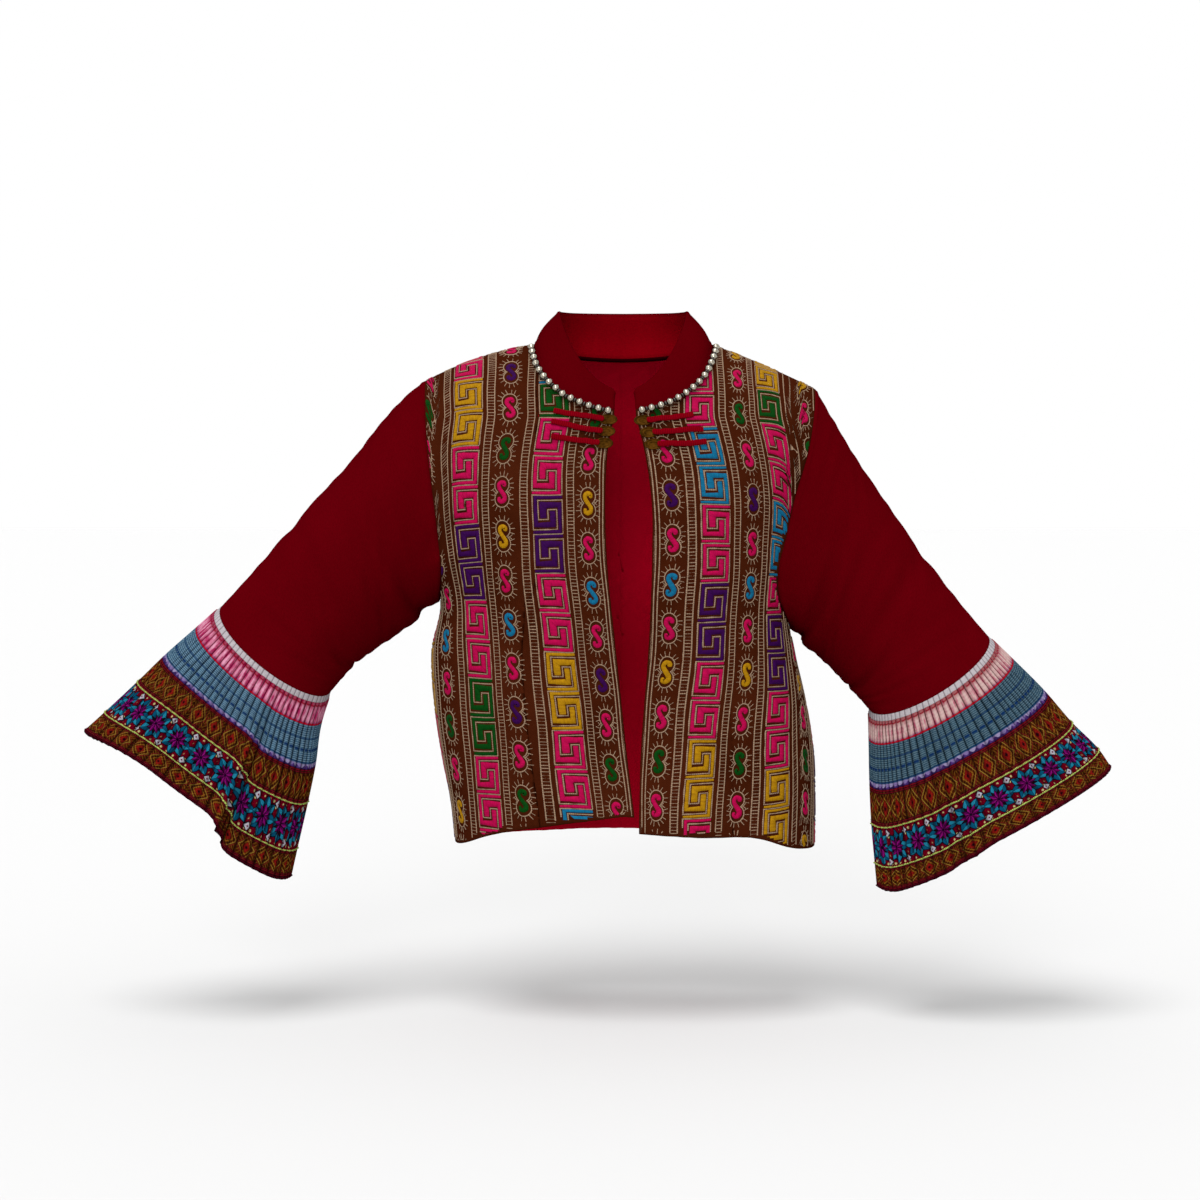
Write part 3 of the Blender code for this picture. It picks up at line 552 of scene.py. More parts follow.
def halfPanel(side, face):
    tops = columnTops(side, face)
    top = topHeight(face, signOf[side] * tops)
    edge = edgeAngle(side, face, top)
    share = (angleAt(side, signOf[side] * tops, top) - edge) / (sideAngle(side, top) - edge)
    share[-1] = 1.0
    low = hemHeight(side, face, share)
    low[-1] = hemHeight(side, "front", share[-1:])[0]
    z = low[:, None] + (top - low)[:, None] * rowShares(side)[None, :]
    return bodyPoint(side, face, columnAngle(side, face, share[:, None], z), z)


def panelNormals(points, seamColumns):
    normals = gridNormals(points, False, points - np.array(body["middle"]))
    for column in seamColumns:
        normals[column, :body["rowsBelow"] + 1, 1] = 0.0
        normals[column, -1, 1] = 0.0
    high = np.abs(points[:, -1, 0]) > body["neckHalfWidth"] - 0.0001
    normals[high, -1, 1] = 0.0
    return unit(normals)


bodyGrids = {}
lastColumn = body["columnsAtNeck"] + body["columnsAtShoulder"]
for side in ("left", "right"):
    grid = halfPanel(side, "front")
    normals = panelNormals(grid, (lastColumn,))
    bodyGrids["front", side] = grid
    piece = shell(f"front_cloth_{side}", grid, grid - body["frontWall"] * normals, False,
                  [brownCloth, brightenedLiningCloth])
    sewn(piece, "embroidered_cotton", f"front_{side}")
halves = halfPanel("left", "back"), halfPanel("right", "back")
grid = np.concatenate((halves[0][:0:-1], halves[1]))
normals = panelNormals(grid, (0, 2 * lastColumn))
bodyGrids["back"] = grid
piece = shell("back_cloth", grid, grid - body["backWall"] * normals, False, [brownCloth, brightenedLiningCloth])
sewn(piece, "embroidered_cotton", "back")
liningGrid = grid - (body["backWall"] + body["plyGap"]) * normals
piece = shell("back_lining_cloth", liningGrid, liningGrid - body["liningWall"] * normals, False, [brightenedLiningCloth])
sewn(piece, "crimson_lining", "back_lining")
print("jacket: body panels")


# embroidery, laid on the cloth by distances from the front edge (u) and up from mid body (v)

class Panel:
    # maps cloth distances of one side to the surface
    def __init__(self, side, face):
        self.side, self.face = side, face
        self.heights = np.arange(-0.58, 0.045, 0.005)
        self.across = np.arange(-0.02, 0.37, 0.002)
        self.outs = np.arange(-0.03, 0.25, 0.004)
        self.ups = np.arange(-0.24, 0.46, 0.002)
        power = 2 / body["roundness"]
        angles = np.linspace(-0.5, math.pi / 2, 260)
        self.angles = np.zeros((len(self.heights), len(self.across)))
        for row, z in enumerate(self.heights):
            x = halfWidth(side, z) * np.copysign(np.abs(np.sin(angles)) ** power, angles)
            y = curve(body["z"], body[face], z) * np.abs(np.cos(angles)) ** power
            run = np.concatenate(((0.0,), np.cumsum(np.hypot(np.diff(x), np.diff(y)))))
            edge = np.interp(edgeAngle(side, face, np.array([z]))[0], angles, run)
            self.angles[row] = np.interp(self.across + edge, run, angles)
        arch = body["arch"][face]
        self.turns = np.zeros((len(self.outs), len(self.ups)))
        self.tops = np.zeros(len(self.outs))
        turns = np.concatenate((np.linspace(0, math.pi / 2, 60), math.pi / 2 + np.linspace(0.1, 12.0, 120)))
        for row, out in enumerate(self.outs):
            x = signOf[side] * out
            z = self.heightOf(x, turns)
            round_ = np.maximum(1 - np.minimum(np.abs(out) / halfWidth(side, z), 1) ** body["roundness"], 0)
            y = curve(body["z"], body[face], z) * round_ ** (1 / body["roundness"]) * self.reachOf(turns)
            run = np.concatenate(((0.0,), np.cumsum(np.hypot(np.diff(z), np.diff(y)))))
            zero = np.interp(0.35, -z, run)
            up = zero - run
            self.turns[row] = np.interp(self.ups, up[::-1], turns[::-1])
            self.tops[row] = up[0]

    def heightOf(self, x, turns):
        arch = body["arch"][self.face]
        return ridge(np.asarray(x, float)) - np.where(
            turns < math.pi / 2, arch * (1 - np.cos(turns)), arch + (turns - math.pi / 2) * 0.05)

    def reachOf(self, turns):
        return np.where(turns < math.pi / 2, np.sin(turns), 1.0)

    def solve(self, u, v):
        power = 2 / body["roundness"]
        z = np.clip(v - 0.35, -0.57, 0.0)
        for _ in range(9):
            angle = gridLookup(self.angles, self.heights, self.across, z, u)
            out = halfWidth(self.side, z) * np.copysign(np.abs(np.sin(angle)) ** power, angle)
            turn = gridLookup(self.turns, self.outs, self.ups, out, v)
            z = 0.3 * z + 0.7 * self.heightOf(signOf[self.side] * out, turn)
        return angle, out, turn, self.heightOf(signOf[self.side] * out, turn)

    def point(self, u, v):
        angle, out, turn, z = self.solve(u, v)
        return bodyPoint(self.side, self.face, angle, z, self.reachOf(turn))

    def place(self, u, v):
        # point, outward normal and whether it is on the cloth
        angle, out, turn, z = self.solve(u, v)
        point = bodyPoint(self.side, self.face, angle, z, self.reachOf(turn))
        step = 0.0015
        across = self.point(u + step, v) - self.point(u - step, v)
        up = self.point(u, v + step) - self.point(u, v - step)
        normal = unit(np.cross(across, up))
        outward = point - np.stack((np.zeros_like(z), np.zeros_like(z), np.minimum(z - 0.06, -0.12)), axis=-1)
        flip = np.sign((normal * outward).sum(axis=-1, keepdims=True))
        name = self.side if self.face == "front" else "back"
        x = np.abs(out)
        limit = np.where(z > armhole["underarm"][self.side], curve(armhole["z"], armhole[self.side], z),
                         halfWidth(self.side, z) + 1)
        room = angle < math.pi / 2 - 0.03
        drop = body["frontNeckDrop"] if self.face == "front" else body["backNeckDrop"]
        share = np.clip(x / body["neckHalfWidth"], 0, 1)
        neck = (x > body["neckHalfWidth"]) | (z < -drop * np.sqrt(1 - share**2) - 0.0012)
        shoulder = v < np.interp(out, self.outs, self.tops) - 0.0008
        low = z > curve(hem["x"], hem[name], x) + 0.0012
        edge = u > 0.0006 if self.face == "front" else u > -1
        return point, normal * np.where(flip == 0, 1, flip), (x < limit - 0.001) & room & neck & shoulder & low & edge


class BackPanel:
    def __init__(self):
        self.halves = {side: Panel(side, "back") for side in ("left", "right")}

    def place(self, u, v):
        left, right = self.halves["left"].place(-u, v), self.halves["right"].place(u, v)
        pick = (u < 0)
        return (np.where(pick[:, None], left[0], right[0]), np.where(pick[:, None], left[1], right[1]),
                np.where(pick, left[2], right[2]))


needle = {
    "ladderPitch": 0.0036, "ladderHalf": 0.0043, "railHalf": 0.00085, "rungHalf": 0.00062,
    "lineHalf": 0.00088, "lineLift": 0.00075, "satinLift": 0.00085, "sunk": -0.00035,
    "sHalf": 0.0027, "ringOut": 0.0091, "lobe": 0.0075, "rays": 24, "rayFrom": 0.0007, "rayTo": 0.0060,
    "rayHalf": 0.00060, "ringHalf": 0.00080, "waver": 0.0005,
}
tent = ((-1.0, 0.0), (-0.45, 0.85), (0.45, 0.85), (1.0, 0.0))
lineTent = ((-1.0, 0.0), (0.0, 1.0), (1.0, 0.0))
pillow = ((-1.0, 0.0), (-0.72, 0.85), (0.0, 1.0), (0.72, 0.85), (1.0, 0.0))
sPath = np.array((
    (1.4, 6.4), (3.2, 7.4), (2.6, 9.4), (-0.2, 10.2), (-3.0, 8.8), (-3.7, 5.8), (-2.2, 2.9), (0.0, 0.0),
    (2.2, -2.9), (3.7, -5.8), (3.0, -8.8), (0.2, -10.2), (-2.6, -9.4), (-3.2, -7.4), (-1.4, -6.4),
)) / 1000
keyLine = ((1.0, 0.0), (0.0, 0.0), (0.0, 0.88), (0.80, 0.88), (0.80, 0.37), (0.49, 0.37), (0.49, 0.62),
           (0.18, 0.62), (0.18, 0.13), (1.0, 0.13), (1.0, 1.0))
keyBars = (
    # satin lines with the half-width, in millimetres, at each corner
    (((1.0, 0.055), (0.098, 0.055), (0.098, 0.755), (0.655, 0.755), (0.655, 0.40)), (1.7, 1.9, 2.6, 3.6, 4.2)),
    (((0.335, 0.585), (0.335, 0.250), (0.905, 0.250), (0.905, 0.943), (0.0, 0.943)), (4.2, 3.9, 3.0, 2.1, 1.6)),
)


leans = {
    "at": {"left": (0.0, 0.020, 0.070, 0.124, 0.174, 0.228, 0.300),
           "right": (0.0, 0.020, 0.061, 0.106, 0.147, 0.192, 0.260)},
    "left": ((0, -2, -13, -5, -16, -20, -22), (0, -2, -12, -12, -24, -30, -32), (0, -2, -8, -14, -18, -26, -28)),
    "right": ((0, -3, 2, -1, 8, 8, 8), (0, 0, 8, 4, 5, 5, 5), (0, 1, 8, 5, -2, -2, -2)),
}


class Stitching:
    def __init__(self, name, panel, turned, seed, leaning):
        self.name, self.panel, self.turned, self.leaning = name, panel, turned, leaning
        self.chance = np.random.default_rng(seed)
        self.points, self.lifts, self.faces, self.used, self.maps = [], [], [], [], []
        self.count = 0

    def stroke(self, path, half, thread, profile, lift, step=0.006, closed=False, ends=0.75):
        # a raised line of stitches along a path given in cloth distances
        path = np.asarray(path, float)
        if closed:
            path = np.concatenate((path, path[:1]))
        fine, halves = [path[0]], [0.0]
        halfAt = np.broadcast_to(half, len(path)).astype(float)
        widths = [halfAt[0]]
        for k in range(len(path) - 1):
            length = np.linalg.norm(path[k + 1] - path[k])
            parts = max(1, int(math.ceil(length / step - 0.2)))
            for part in range(1, parts + 1):
                fine.append(path[k] + (path[k + 1] - path[k]) * part / parts)
                widths.append(halfAt[k] + (halfAt[k + 1] - halfAt[k]) * part / parts)
        fine, widths = np.array(fine), np.array(widths)
        widths = widths * (1 + 0.07 * self.chance.uniform(-1, 1, len(widths)))
        run = unit(np.diff(fine, axis=0))
        before = np.concatenate((run[-1:] if closed else run[:1], run))
        after = np.concatenate((run, run[:1] if closed else run[-1:]))
        way = unit(before + after)
        bend = np.clip((way * after).sum(axis=1), 0.62, 1.0)
        side = np.stack((-way[:, 1], way[:, 0]), axis=1) / bend[:, None]
        distance = np.concatenate(((0.0,), np.cumsum(np.linalg.norm(np.diff(fine, axis=0), axis=1))))
        shift = self.chance.uniform(0, 0.02)
        size, wide = len(fine), len(profile)
        spots = np.concatenate([fine + side * (widths * a)[:, None] for a, _ in profile])
        lifts = np.concatenate([np.full(size, needle["sunk"] + (lift - needle["sunk"]) * b) for _, b in profile])
        if not closed:
            for row in range(wide):
                for end in (row * size, row * size + size - 1):
                    lifts[end] = needle["sunk"] + (lifts[end] - needle["sunk"]) * ends
        u = np.concatenate([distance + shift] * wide)
        v = np.concatenate([widths * a for a, _ in profile])
        base = np.arange(size - 1)
        for row in range(wide - 1):
            a = self.count + row * size + base
            self.faces.append(np.stack((a, a + 1, a + 1 + size, a + size), axis=1))
            self.used.append(np.full(size - 1, thread))
        self.points.append(spots)
        self.lifts.append(lifts)
        self.maps.append(np.stack((u, v), axis=1))
        self.count += len(spots)

    def key(self, at, size, thread):
        # at is the block's top left corner, as seen
        def spot(x, y):
            return at + np.array((self.turned * x * size[0], -y * size[1]))
        for bar, halves in keyBars:
            self.stroke([spot(x, y) for x, y in bar], np.array(halves) / 1000 * (size[0] / 0.036), thread, pillow,
                        needle["satinLift"], 0.005, ends=0.4)
        self.stroke([spot(x, y) for x, y in keyLine], needle["lineHalf"], 0, lineTent, needle["lineLift"], 0.009)

    def swirl(self, at, shrink, thread):
        # an S with its ringed outline and rays
        turn = self.chance.uniform(-0.06, 0.06)
        spin = np.array(((math.cos(turn), -math.sin(turn)), (math.sin(turn), math.cos(turn))))
        scale = np.array((-self.turned * shrink * -1, 1.0))

        def put(points):
            return at + (np.asarray(points) @ spin.T) * scale
        t = np.linspace(0, len(sPath) - 1, 34)
        path = np.stack([curve(np.arange(len(sPath)), sPath[:, k], t) for k in (0, 1)], axis=1)
        ease = np.sqrt(np.clip(np.minimum(t, t[::-1]) / 0.8, 0.12, 1.0))
        self.stroke(put(path), needle["sHalf"] * ease, thread, pillow, needle["satinLift"], 0.02)
        angles = np.linspace(0, 2 * math.pi, 40, endpoint=False)
        way = np.stack((np.cos(angles), np.sin(angles)), axis=1)
        along = np.abs(way[:, 1]) * needle["lobe"]
        reach = along + np.sqrt(needle["ringOut"] ** 2 - needle["lobe"] ** 2 + along**2)
        ring = way * reach[:, None] * np.array((0.98, 1.0))
        self.stroke(put(ring), needle["ringHalf"], 0, lineTent, needle["lineLift"], 0.02, True)
        lengths = np.concatenate(((0.0,), np.cumsum(np.linalg.norm(np.diff(ring, axis=0, append=ring[:1]), axis=1))))
        loop = np.concatenate((ring, ring[:1]))
        for k in range(needle["rays"]):
            spotAt = (k + 0.5 + self.chance.uniform(-0.15, 0.15)) * lengths[-1] / needle["rays"]
            base = np.array([np.interp(spotAt, lengths, loop[:, c]) for c in (0, 1)])
            ahead = np.array([np.interp(spotAt + 0.001, lengths, loop[:, c]) for c in (0, 1)])
            out = unit(np.array((ahead[1] - base[1], base[0] - ahead[0])))
            far = needle["rayTo"] + self.chance.uniform(-0.0008, 0.0006)
            ray = np.array([base + out * needle["rayFrom"], base + out * far])
            self.stroke(put(ray), needle["rayHalf"], 0, lineTent, needle["lineLift"] * 0.8, 0.004)

    def ladder(self, middle, low, high, shrink):
        half = needle["ladderHalf"] * shrink
        for side in (-1, 1):
            self.stroke(((middle + side * half, low), (middle + side * half, high)), needle["railHalf"], 0,
                        lineTent, needle["lineLift"], 0.006)
        for k in range(int((high - low) / needle["ladderPitch"])):
            at = low + (k + 0.5) * needle["ladderPitch"] + self.chance.uniform(-0.0003, 0.0003)
            self.stroke(((middle - half, at), (middle + half, at + self.chance.uniform(-0.0003, 0.0003))),
                        needle["rungHalf"], 0, lineTent, needle["lineLift"] * 0.8, 0.02)

    def edging(self, low, high):
        # two lines and a fine zigzag beside the front edge
        for at in (0.0024, 0.0064):
            self.stroke(((at, low), (at, high)), 0.00090, 0, lineTent, needle["lineLift"], 0.006)
        steps = np.arange(low, high, 0.0017)
        zigzag = np.stack((0.0009 + 0.0003 * (np.arange(len(steps)) % 2 * 2 - 1), steps), axis=1)
        self.stroke(zigzag, 0.00032, 0, lineTent, needle["lineLift"] * 0.6, 0.02)

    def lean(self, u, v):
        # the columns don't hang quite straight: shifts near the hem, at the waist and at the chest
        if self.leaning is None:
            return 0.0
        low, waist, chest = (np.interp(u, leans["at"][self.leaning], row) / 1000 for row in leans[self.leaning])
        t = np.clip((v + 0.15) / 0.40, -0.1, 1.15)
        return low * (1 - t) * (1 - 2 * t) + waist * 4 * t * (1 - t) + chest * t * (2 * t - 1)

    def make(self):
        points, lifts = np.concatenate(self.points), np.concatenate(self.lifts)
        faces, used = np.concatenate(self.faces), np.concatenate(self.used)
        maps = np.concatenate(self.maps)
        waver = needle["waver"]
        u = points[:, 0] + waver * np.sin(points[:, 1] * 61 + points[:, 0] * 23)
        v = points[:, 1] + waver * np.sin(points[:, 0] * 71 + points[:, 1] * 31)
        u = u + self.lean(u, v)
        place, normal, fits = self.panel.place(u, v)
        spots = place + normal * lifts[:, None]
        keep = fits[faces].all(axis=1)
        faces, used = faces[keep], used[keep]
        ids, index = np.unique(faces, return_inverse=True)
        faces = index.reshape(-1, 4)
        spots, normal, maps = spots[ids], normal[ids], maps[ids]
        a, b, c = (spots[faces[:, k]] for k in (0, 1, 2))
        turned = (np.cross(b - a, c - a) * normal[faces[:, 0]]).sum(axis=1) < 0
        faces[turned] = faces[turned][:, ::-1]
        mesh = bpy.data.meshes.new(self.name)
        mesh.from_pydata(spots, [], faces.tolist())
        layer = mesh.uv_layers.new(name="cloth")
        layer.data.foreach_set("uv", maps[faces.ravel()].astype(np.float32).ravel())
        for look in threads.values():
            mesh.materials.append(look)
        mesh.polygons.foreach_set("material_index", used)
        mesh.shade_smooth()
        made = bpy.data.objects.new(self.name, mesh)
        bpy.context.collection.objects.link(made)
        print(f"  {self.name}: {len(faces)} faces")
        return made


threadIndex = {name: k for k, name in enumerate(threads)}
pattern = {
    "keyWidth": 0.036, "keyHeight": 0.0417, "swirlPitch": 0.0470, "low": -0.215, "high": 0.42,
    # middle (u) of each column; one known spot (v) with its place in the list; colours from the top down
    "left": {
        "shrink": 1.0, "ladders": (0.042, 0.098, 0.146, 0.202, 0.250, 0.306),
        "swirls": (
            (0.020, 0.0828, 5, "pink green pink yellow pink blue pink purple pink green pink"),
            (0.124, 0.0478, 7, "pink purple pink green pink yellow pink blue pink purple pink green"),
            (0.228, 0.0287, 7, "pink green pink yellow pink purple pink blue pink green pink yellow"),
        ),
        "keys": (
            (0.070, 0.0191, 7, "green pink pink purple purple pink pink yellow yellow pink pink blue blue"),
            (0.174, -0.0106, 9, "pink yellow yellow pink pink purple purple pink pink green green pink pink"),
            (0.278, 0.0270, 6, "blue pink pink green green pink yellow yellow pink pink purple purple"),
        ),
    },
    "right": {
        "shrink": 0.83, "ladders": (0.0375, 0.0855, 0.1235, 0.1715, 0.2095, 0.2575),
        "swirls": (
            (0.0196, 0.0913, 4, "green pink purple pink blue pink yellow pink green pink"),
            (0.1056, 0.0871, 6, "yellow pink green pink purple pink blue pink yellow pink green pink"),
            (0.1916, 0.0650, 6, "yellow pink green pink purple pink blue pink yellow pink green pink"),
        ),
        "keys": (
            (0.061, 0.0923, 6, "pink pink blue blue pink pink purple purple pink pink yellow yellow pink"),
            (0.147, 0.0573, 6, "green pink pink blue blue pink purple purple pink pink yellow yellow"),
            (0.233, 0.0700, 5, "pink yellow yellow pink pink green green pink pink purple purple pink"),
        ),
    },
    "back": {
        "shrink": 1.0, "ladders": tuple(k * 0.104 + s for k in (-3, -2, -1, 0, 1, 2) for s in (0.022, 0.082)),
        "swirls": (
            (-0.208, 0.060, 6, "pink green pink yellow pink purple pink blue pink green pink yellow pink"),
            (-0.104, 0.080, 6, "yellow pink green pink purple pink blue pink yellow pink green pink purple"),
            (0.000, 0.045, 6, "pink purple pink green pink yellow pink blue pink purple pink green pink"),
            (0.104, 0.070, 6, "green pink purple pink blue pink yellow pink green pink purple pink blue"),
            (0.208, 0.055, 6, "pink yellow pink green pink blue pink purple pink yellow pink green pink"),
        ),
        "keys": (
            (-0.260, 0.030, 6, "blue pink pink green green pink yellow yellow pink pink purple purple pink pink"),
            (-0.156, 0.050, 6, "pink yellow yellow pink pink purple purple pink pink green green pink pink blue"),
            (-0.052, 0.020, 6, "green pink pink purple purple pink pink yellow yellow pink pink blue blue pink"),
            (0.052, 0.060, 6, "pink pink blue blue pink pink purple purple pink pink yellow yellow pink pink"),
            (0.156, 0.040, 6, "purple pink pink yellow yellow pink pink green green pink pink purple purple pink"),
            (0.260, 0.030, 6, "pink green green pink pink blue blue pink pink yellow yellow pink pink green"),
        ),
    },
}


def embroider(name, panel, turned, plan, seed, leaning):
    work = Stitching(name, panel, turned, seed, leaning)
    low, high = pattern["low"], pattern["high"]
    for at in plan["ladders"]:
        work.ladder(at, low, high, plan["shrink"])
    for at, spot, place, colours in plan["swirls"]:
        colours = colours.split()
        for k in range(-5, len(colours) + 3):
            work.swirl(np.array((at, spot + (place - k) * pattern["swirlPitch"])), plan["shrink"],
                       threadIndex[colours[k % len(colours)]])
    size = np.array((pattern["keyWidth"] * plan["shrink"], pattern["keyHeight"]))
    for at, spot, place, colours in plan["keys"]:
        colours = colours.split()
        for k in range(-6, len(colours) + 3):
            corner = np.array((at - turned * size[0] / 2, spot + (place - k) * pattern["keyHeight"]))
            work.key(corner, size, threadIndex[colours[k % len(colours)]])
    if leaning:
        work.edging(low, high)
    return work.make()


for side, turned, seed in (("left", -1.0, 11), ("right", 1.0, 12)):
    piece = embroider(f"embroidery_front_{side}", Panel(side, "front"), turned, pattern[side], seed, side)
    sewn(piece, "embroidered_cotton")
    cutSheet(bodyGrids["front", side], False)
piece = embroider("embroidery_back", BackPanel(), -1.0, pattern["back"], 13, None)
sewn(piece, "embroidered_cotton")
cutSheet(bodyGrids["back"], False)
cutSheet(liningGrid, False)
print("jacket: embroidery")


# sleeves

sleeve = {
    "wall": 0.0016, "along": 84,
    "left": (
        ((0.2398, -0.0583), (0.2185, -0.2955), 0.066, 0.000), ((0.2618, -0.0825), (0.2365, -0.3102), 0.066, -0.002),
        ((0.2965, -0.1275), (0.2700, -0.3330), 0.063, -0.007), ((0.3442, -0.1800), (0.2925, -0.3490), 0.058, -0.014),
        ((0.3924, -0.2368), (0.3080, -0.3660), 0.053, -0.023), ((0.4367, -0.2855), (0.3201, -0.3806), 0.049, -0.032),
    ),
    "right": (
        ((0.2288, -0.0800), (0.1969, -0.3278), 0.064, 0.000), ((0.2500, -0.1170), (0.2150, -0.3430), 0.064, -0.003),
        ((0.2850, -0.1700), (0.2350, -0.3620), 0.061, -0.009), ((0.3230, -0.2250), (0.2490, -0.3770), 0.057, -0.016),
        ((0.3600, -0.2740), (0.2600, -0.3890), 0.053, -0.024), ((0.3970, -0.3180), (0.2690, -0.3995), 0.049, -0.032),
    ),
    "bow": (0.000, 0.003, 0.007, 0.011, 0.015, 0.018),
    # soft folds: turn, share of the length, slant, span of turn, width, depth
    "folds": (
        (0.10, 0.16, 0.75, 0.16, 0.050, 0.0050), (0.16, 0.34, 0.55, 0.15, 0.045, 0.0035),
        (0.88, 0.20, -0.70, 0.16, 0.055, 0.0060), (0.80, 0.46, -0.40, 0.14, 0.045, 0.0040),
        (0.30, 0.62, 0.35, 0.13, 0.050, 0.0030), (0.62, 0.72, 0.30, 0.16, 0.045, 0.0030),
        (0.06, 0.66, 0.30, 0.12, 0.045, 0.0035),
    ),
}


def stationRing(side, top, low, deep, middle, bow, turns):
    sign = signOf[side]
    upper, lower = (np.array((sign * p[0], middle, p[1])) for p in (top, low))
    across = (upper - lower) / 2
    hand = unit(np.array((sign * abs(across[2]), 0.0, -abs(across[0]))))
    forward = np.array((0.0, -deep, 0.0)) + hand * bow
    return (upper + lower) / 2 + across * np.cos(turns)[:, None] + forward * np.sin(turns)[:, None]


def panelEdge(side, face):
    rows = slice(body["rowsBelow"], None)
    if face == "front":
        return bodyGrids["front", side][-1, rows]
    return bodyGrids["back"][0 if side == "left" else -1, rows]


for side in ("left", "right"):
    front, back = panelEdge(side, "front"), panelEdge(side, "back")
    root = np.concatenate(((front[:1] + back[:1]) / 2, front[1:-1], (front[-1:] + back[-1:]) / 2, back[-2:0:-1]))
    count = len(root)
    turns = math.pi - 2 * math.pi * np.arange(count) / count
    rings = np.array([root] + [stationRing(side, top, low, deep, middle, bow, turns)
                               for (top, low, deep, middle), bow in zip(sleeve[side], sleeve["bow"])])
    keys = np.concatenate(((0.0,), np.cumsum(np.linalg.norm(np.diff(rings, axis=0), axis=2).mean(axis=1))))
    keys /= keys[-1]
    at = ramp(np.linspace(0, 1, sleeve["along"])) * 0.35 + np.linspace(0, 1, sleeve["along"]) * 0.65
    grid = np.zeros((count, len(at), 3))
    slopes = np.gradient(rings, keys, axis=0)
    slopes[0] = (rings[1] - rings[0]) / (keys[1] - keys[0])
    for j, t in enumerate(at):
        k = min(int(np.searchsorted(keys, t, side="right")) - 1, len(keys) - 2)
        span = keys[k + 1] - keys[k]
        s = (t - keys[k]) / span
        grid[:, j] = (rings[k] * (2 * s**3 - 3 * s**2 + 1) + slopes[k] * span * (s**3 - 2 * s**2 + s)
                      + rings[k + 1] * (3 * s**2 - 2 * s**3) + slopes[k + 1] * span * (s**3 - s**2))
    normals = gridNormals(grid, True, grid - grid.mean(axis=0))
    turn = (np.arange(count) / count)[:, None]
    held = np.minimum(np.minimum(at, 1 - at) * 9, 1.0)[None, :]
    shape = np.zeros((count, len(at)))
    for middle, along, slant, spread, width, depth in sleeve["folds"]:
        away = (turn - middle + 0.5) % 1.0 - 0.5
        off = (at[None, :] - along - slant * away) / width
        shape -= depth * (1 - 0.9 * off**2) * np.exp(-off**2 * 0.9) * np.exp(-(away / spread) ** 2)
    shape += 0.0007 * np.sin(turn * 2 * math.pi * 7 + 3 * np.sin(at * 19)) * np.sin(at * 37 + 2)
    grid = grid + normals * (shape * held + 0.0011 * np.exp(-((at - 0.018) / 0.010) ** 2))[..., None]
    normals = gridNormals(grid, True, grid - grid.mean(axis=0))
    bodyGrids["sleeve", side] = grid
    piece = shell(f"sleeve_cloth_{side}", grid, grid - sleeve["wall"] * normals, True, [sleeveCloth])
    sewn(piece, "crimson_cotton", f"sleeve_{side}")
    cutSheet(grid, True)
print("jacket: sleeves")


def cordAlong(name, path, radius, look, sides):
    # an open cord on a line of points, with rounded ends
    run = unit(np.gradient(path, axis=0))
    side = unit(np.cross(run, np.array((0.0, 0.0, 1.0))))
    up = np.cross(side, run)
    angles = 2 * math.pi * np.arange(sides) / sides
    taper = np.sqrt(np.clip(np.minimum(np.arange(len(path)), np.arange(len(path))[::-1]) / 2.0, 0.03, 1.0))
    rings = path[:, None] + radius * taper[:, None, None] * (
        side[:, None] * np.cos(angles)[None, :, None] + up[:, None] * np.sin(angles)[None, :, None])
    index = np.arange(len(path) * sides).reshape(-1, sides)
    after = np.roll(index, -1, axis=1)
    faces = np.stack((index[:-1], after[:-1], after[1:], index[1:]), axis=2).reshape(-1, 4).tolist()
    faces += [index[0].tolist(), index[-1].tolist()]
    mesh = bpy.data.meshes.new(name)
    mesh.from_pydata(rings.reshape(-1, 3), [], faces)
    spots = np.stack(np.meshgrid(np.arange(len(path)) * 0.003, np.arange(sides) * 0.001, indexing="ij"), axis=2)
    layer = mesh.uv_layers.new(name="cloth")
    corners = np.array([loop.vertex_index for loop in mesh.loops])
    layer.data.foreach_set("uv", spots.reshape(-1, 2)[corners].astype(np.float32).ravel())
    bm = bmesh.new()
    bm.from_mesh(mesh)
    bmesh.ops.recalc_face_normals(bm, faces=bm.faces)
    bm.to_mesh(mesh)
    bm.free()
    mesh.materials.append(look)
    mesh.shade_smooth()
    made = bpy.data.objects.new(name, mesh)
    bpy.context.collection.objects.link(made)
    sewn(made, None)
    return made


# stand collar

# painted shade: the roll along the inner back neck seam is dyed much darker than the collar, standing for the shadow
# in the seam
shadedSeamRollCloth = wovenCloth("neck_seam_painted_shade", dye(52, 0, 4), dye(34, 0, 2))

collar = {
    "topHalfWidth": 0.0700, "topFront": 0.066, "topBack": 0.054, "topHeight": 0.036, "frontDrop": 0.088,
    "fall": 1.6, "bulge": 0.05, "corner": 0.007, "wall": 0.0024, "rows": 30,
}
neckColumns = body["columnsAtNeck"]
middle = lastColumn
leftNeck = bodyGrids["front", "left"][:neckColumns + 1, -1]
rightNeck = bodyGrids["front", "right"][:neckColumns + 1, -1]
backNeck = bodyGrids["back"][middle - neckColumns:middle + neckColumns + 1, -1]
base = np.concatenate((leftNeck[:-1], (leftNeck[-1:] + backNeck[:1]) / 2, backNeck[1:-1],
                       (backNeck[-1:] + rightNeck[-1:]) / 2, rightNeck[-2::-1]))
around = np.clip(np.abs(base[:, 0] / body["neckHalfWidth"]), 0, 1)
share = np.arcsin(around) / math.pi
share = np.where(base[:, 1] < 0.001, share, 1 - share)
turn = math.pi * share
fall = np.maximum(np.cos(turn), 0.0)
deep = np.where(turn < math.pi / 2, collar["topFront"], collar["topBack"])
top = np.stack((np.copysign(collar["topHalfWidth"] * np.sin(turn), base[:, 0]), -deep * np.cos(turn),
                collar["topHeight"] - collar["frontDrop"] * fall ** collar["fall"]), axis=1)
along = np.concatenate(((0.0,), np.cumsum(np.linalg.norm(np.diff(top, axis=0), axis=1))))
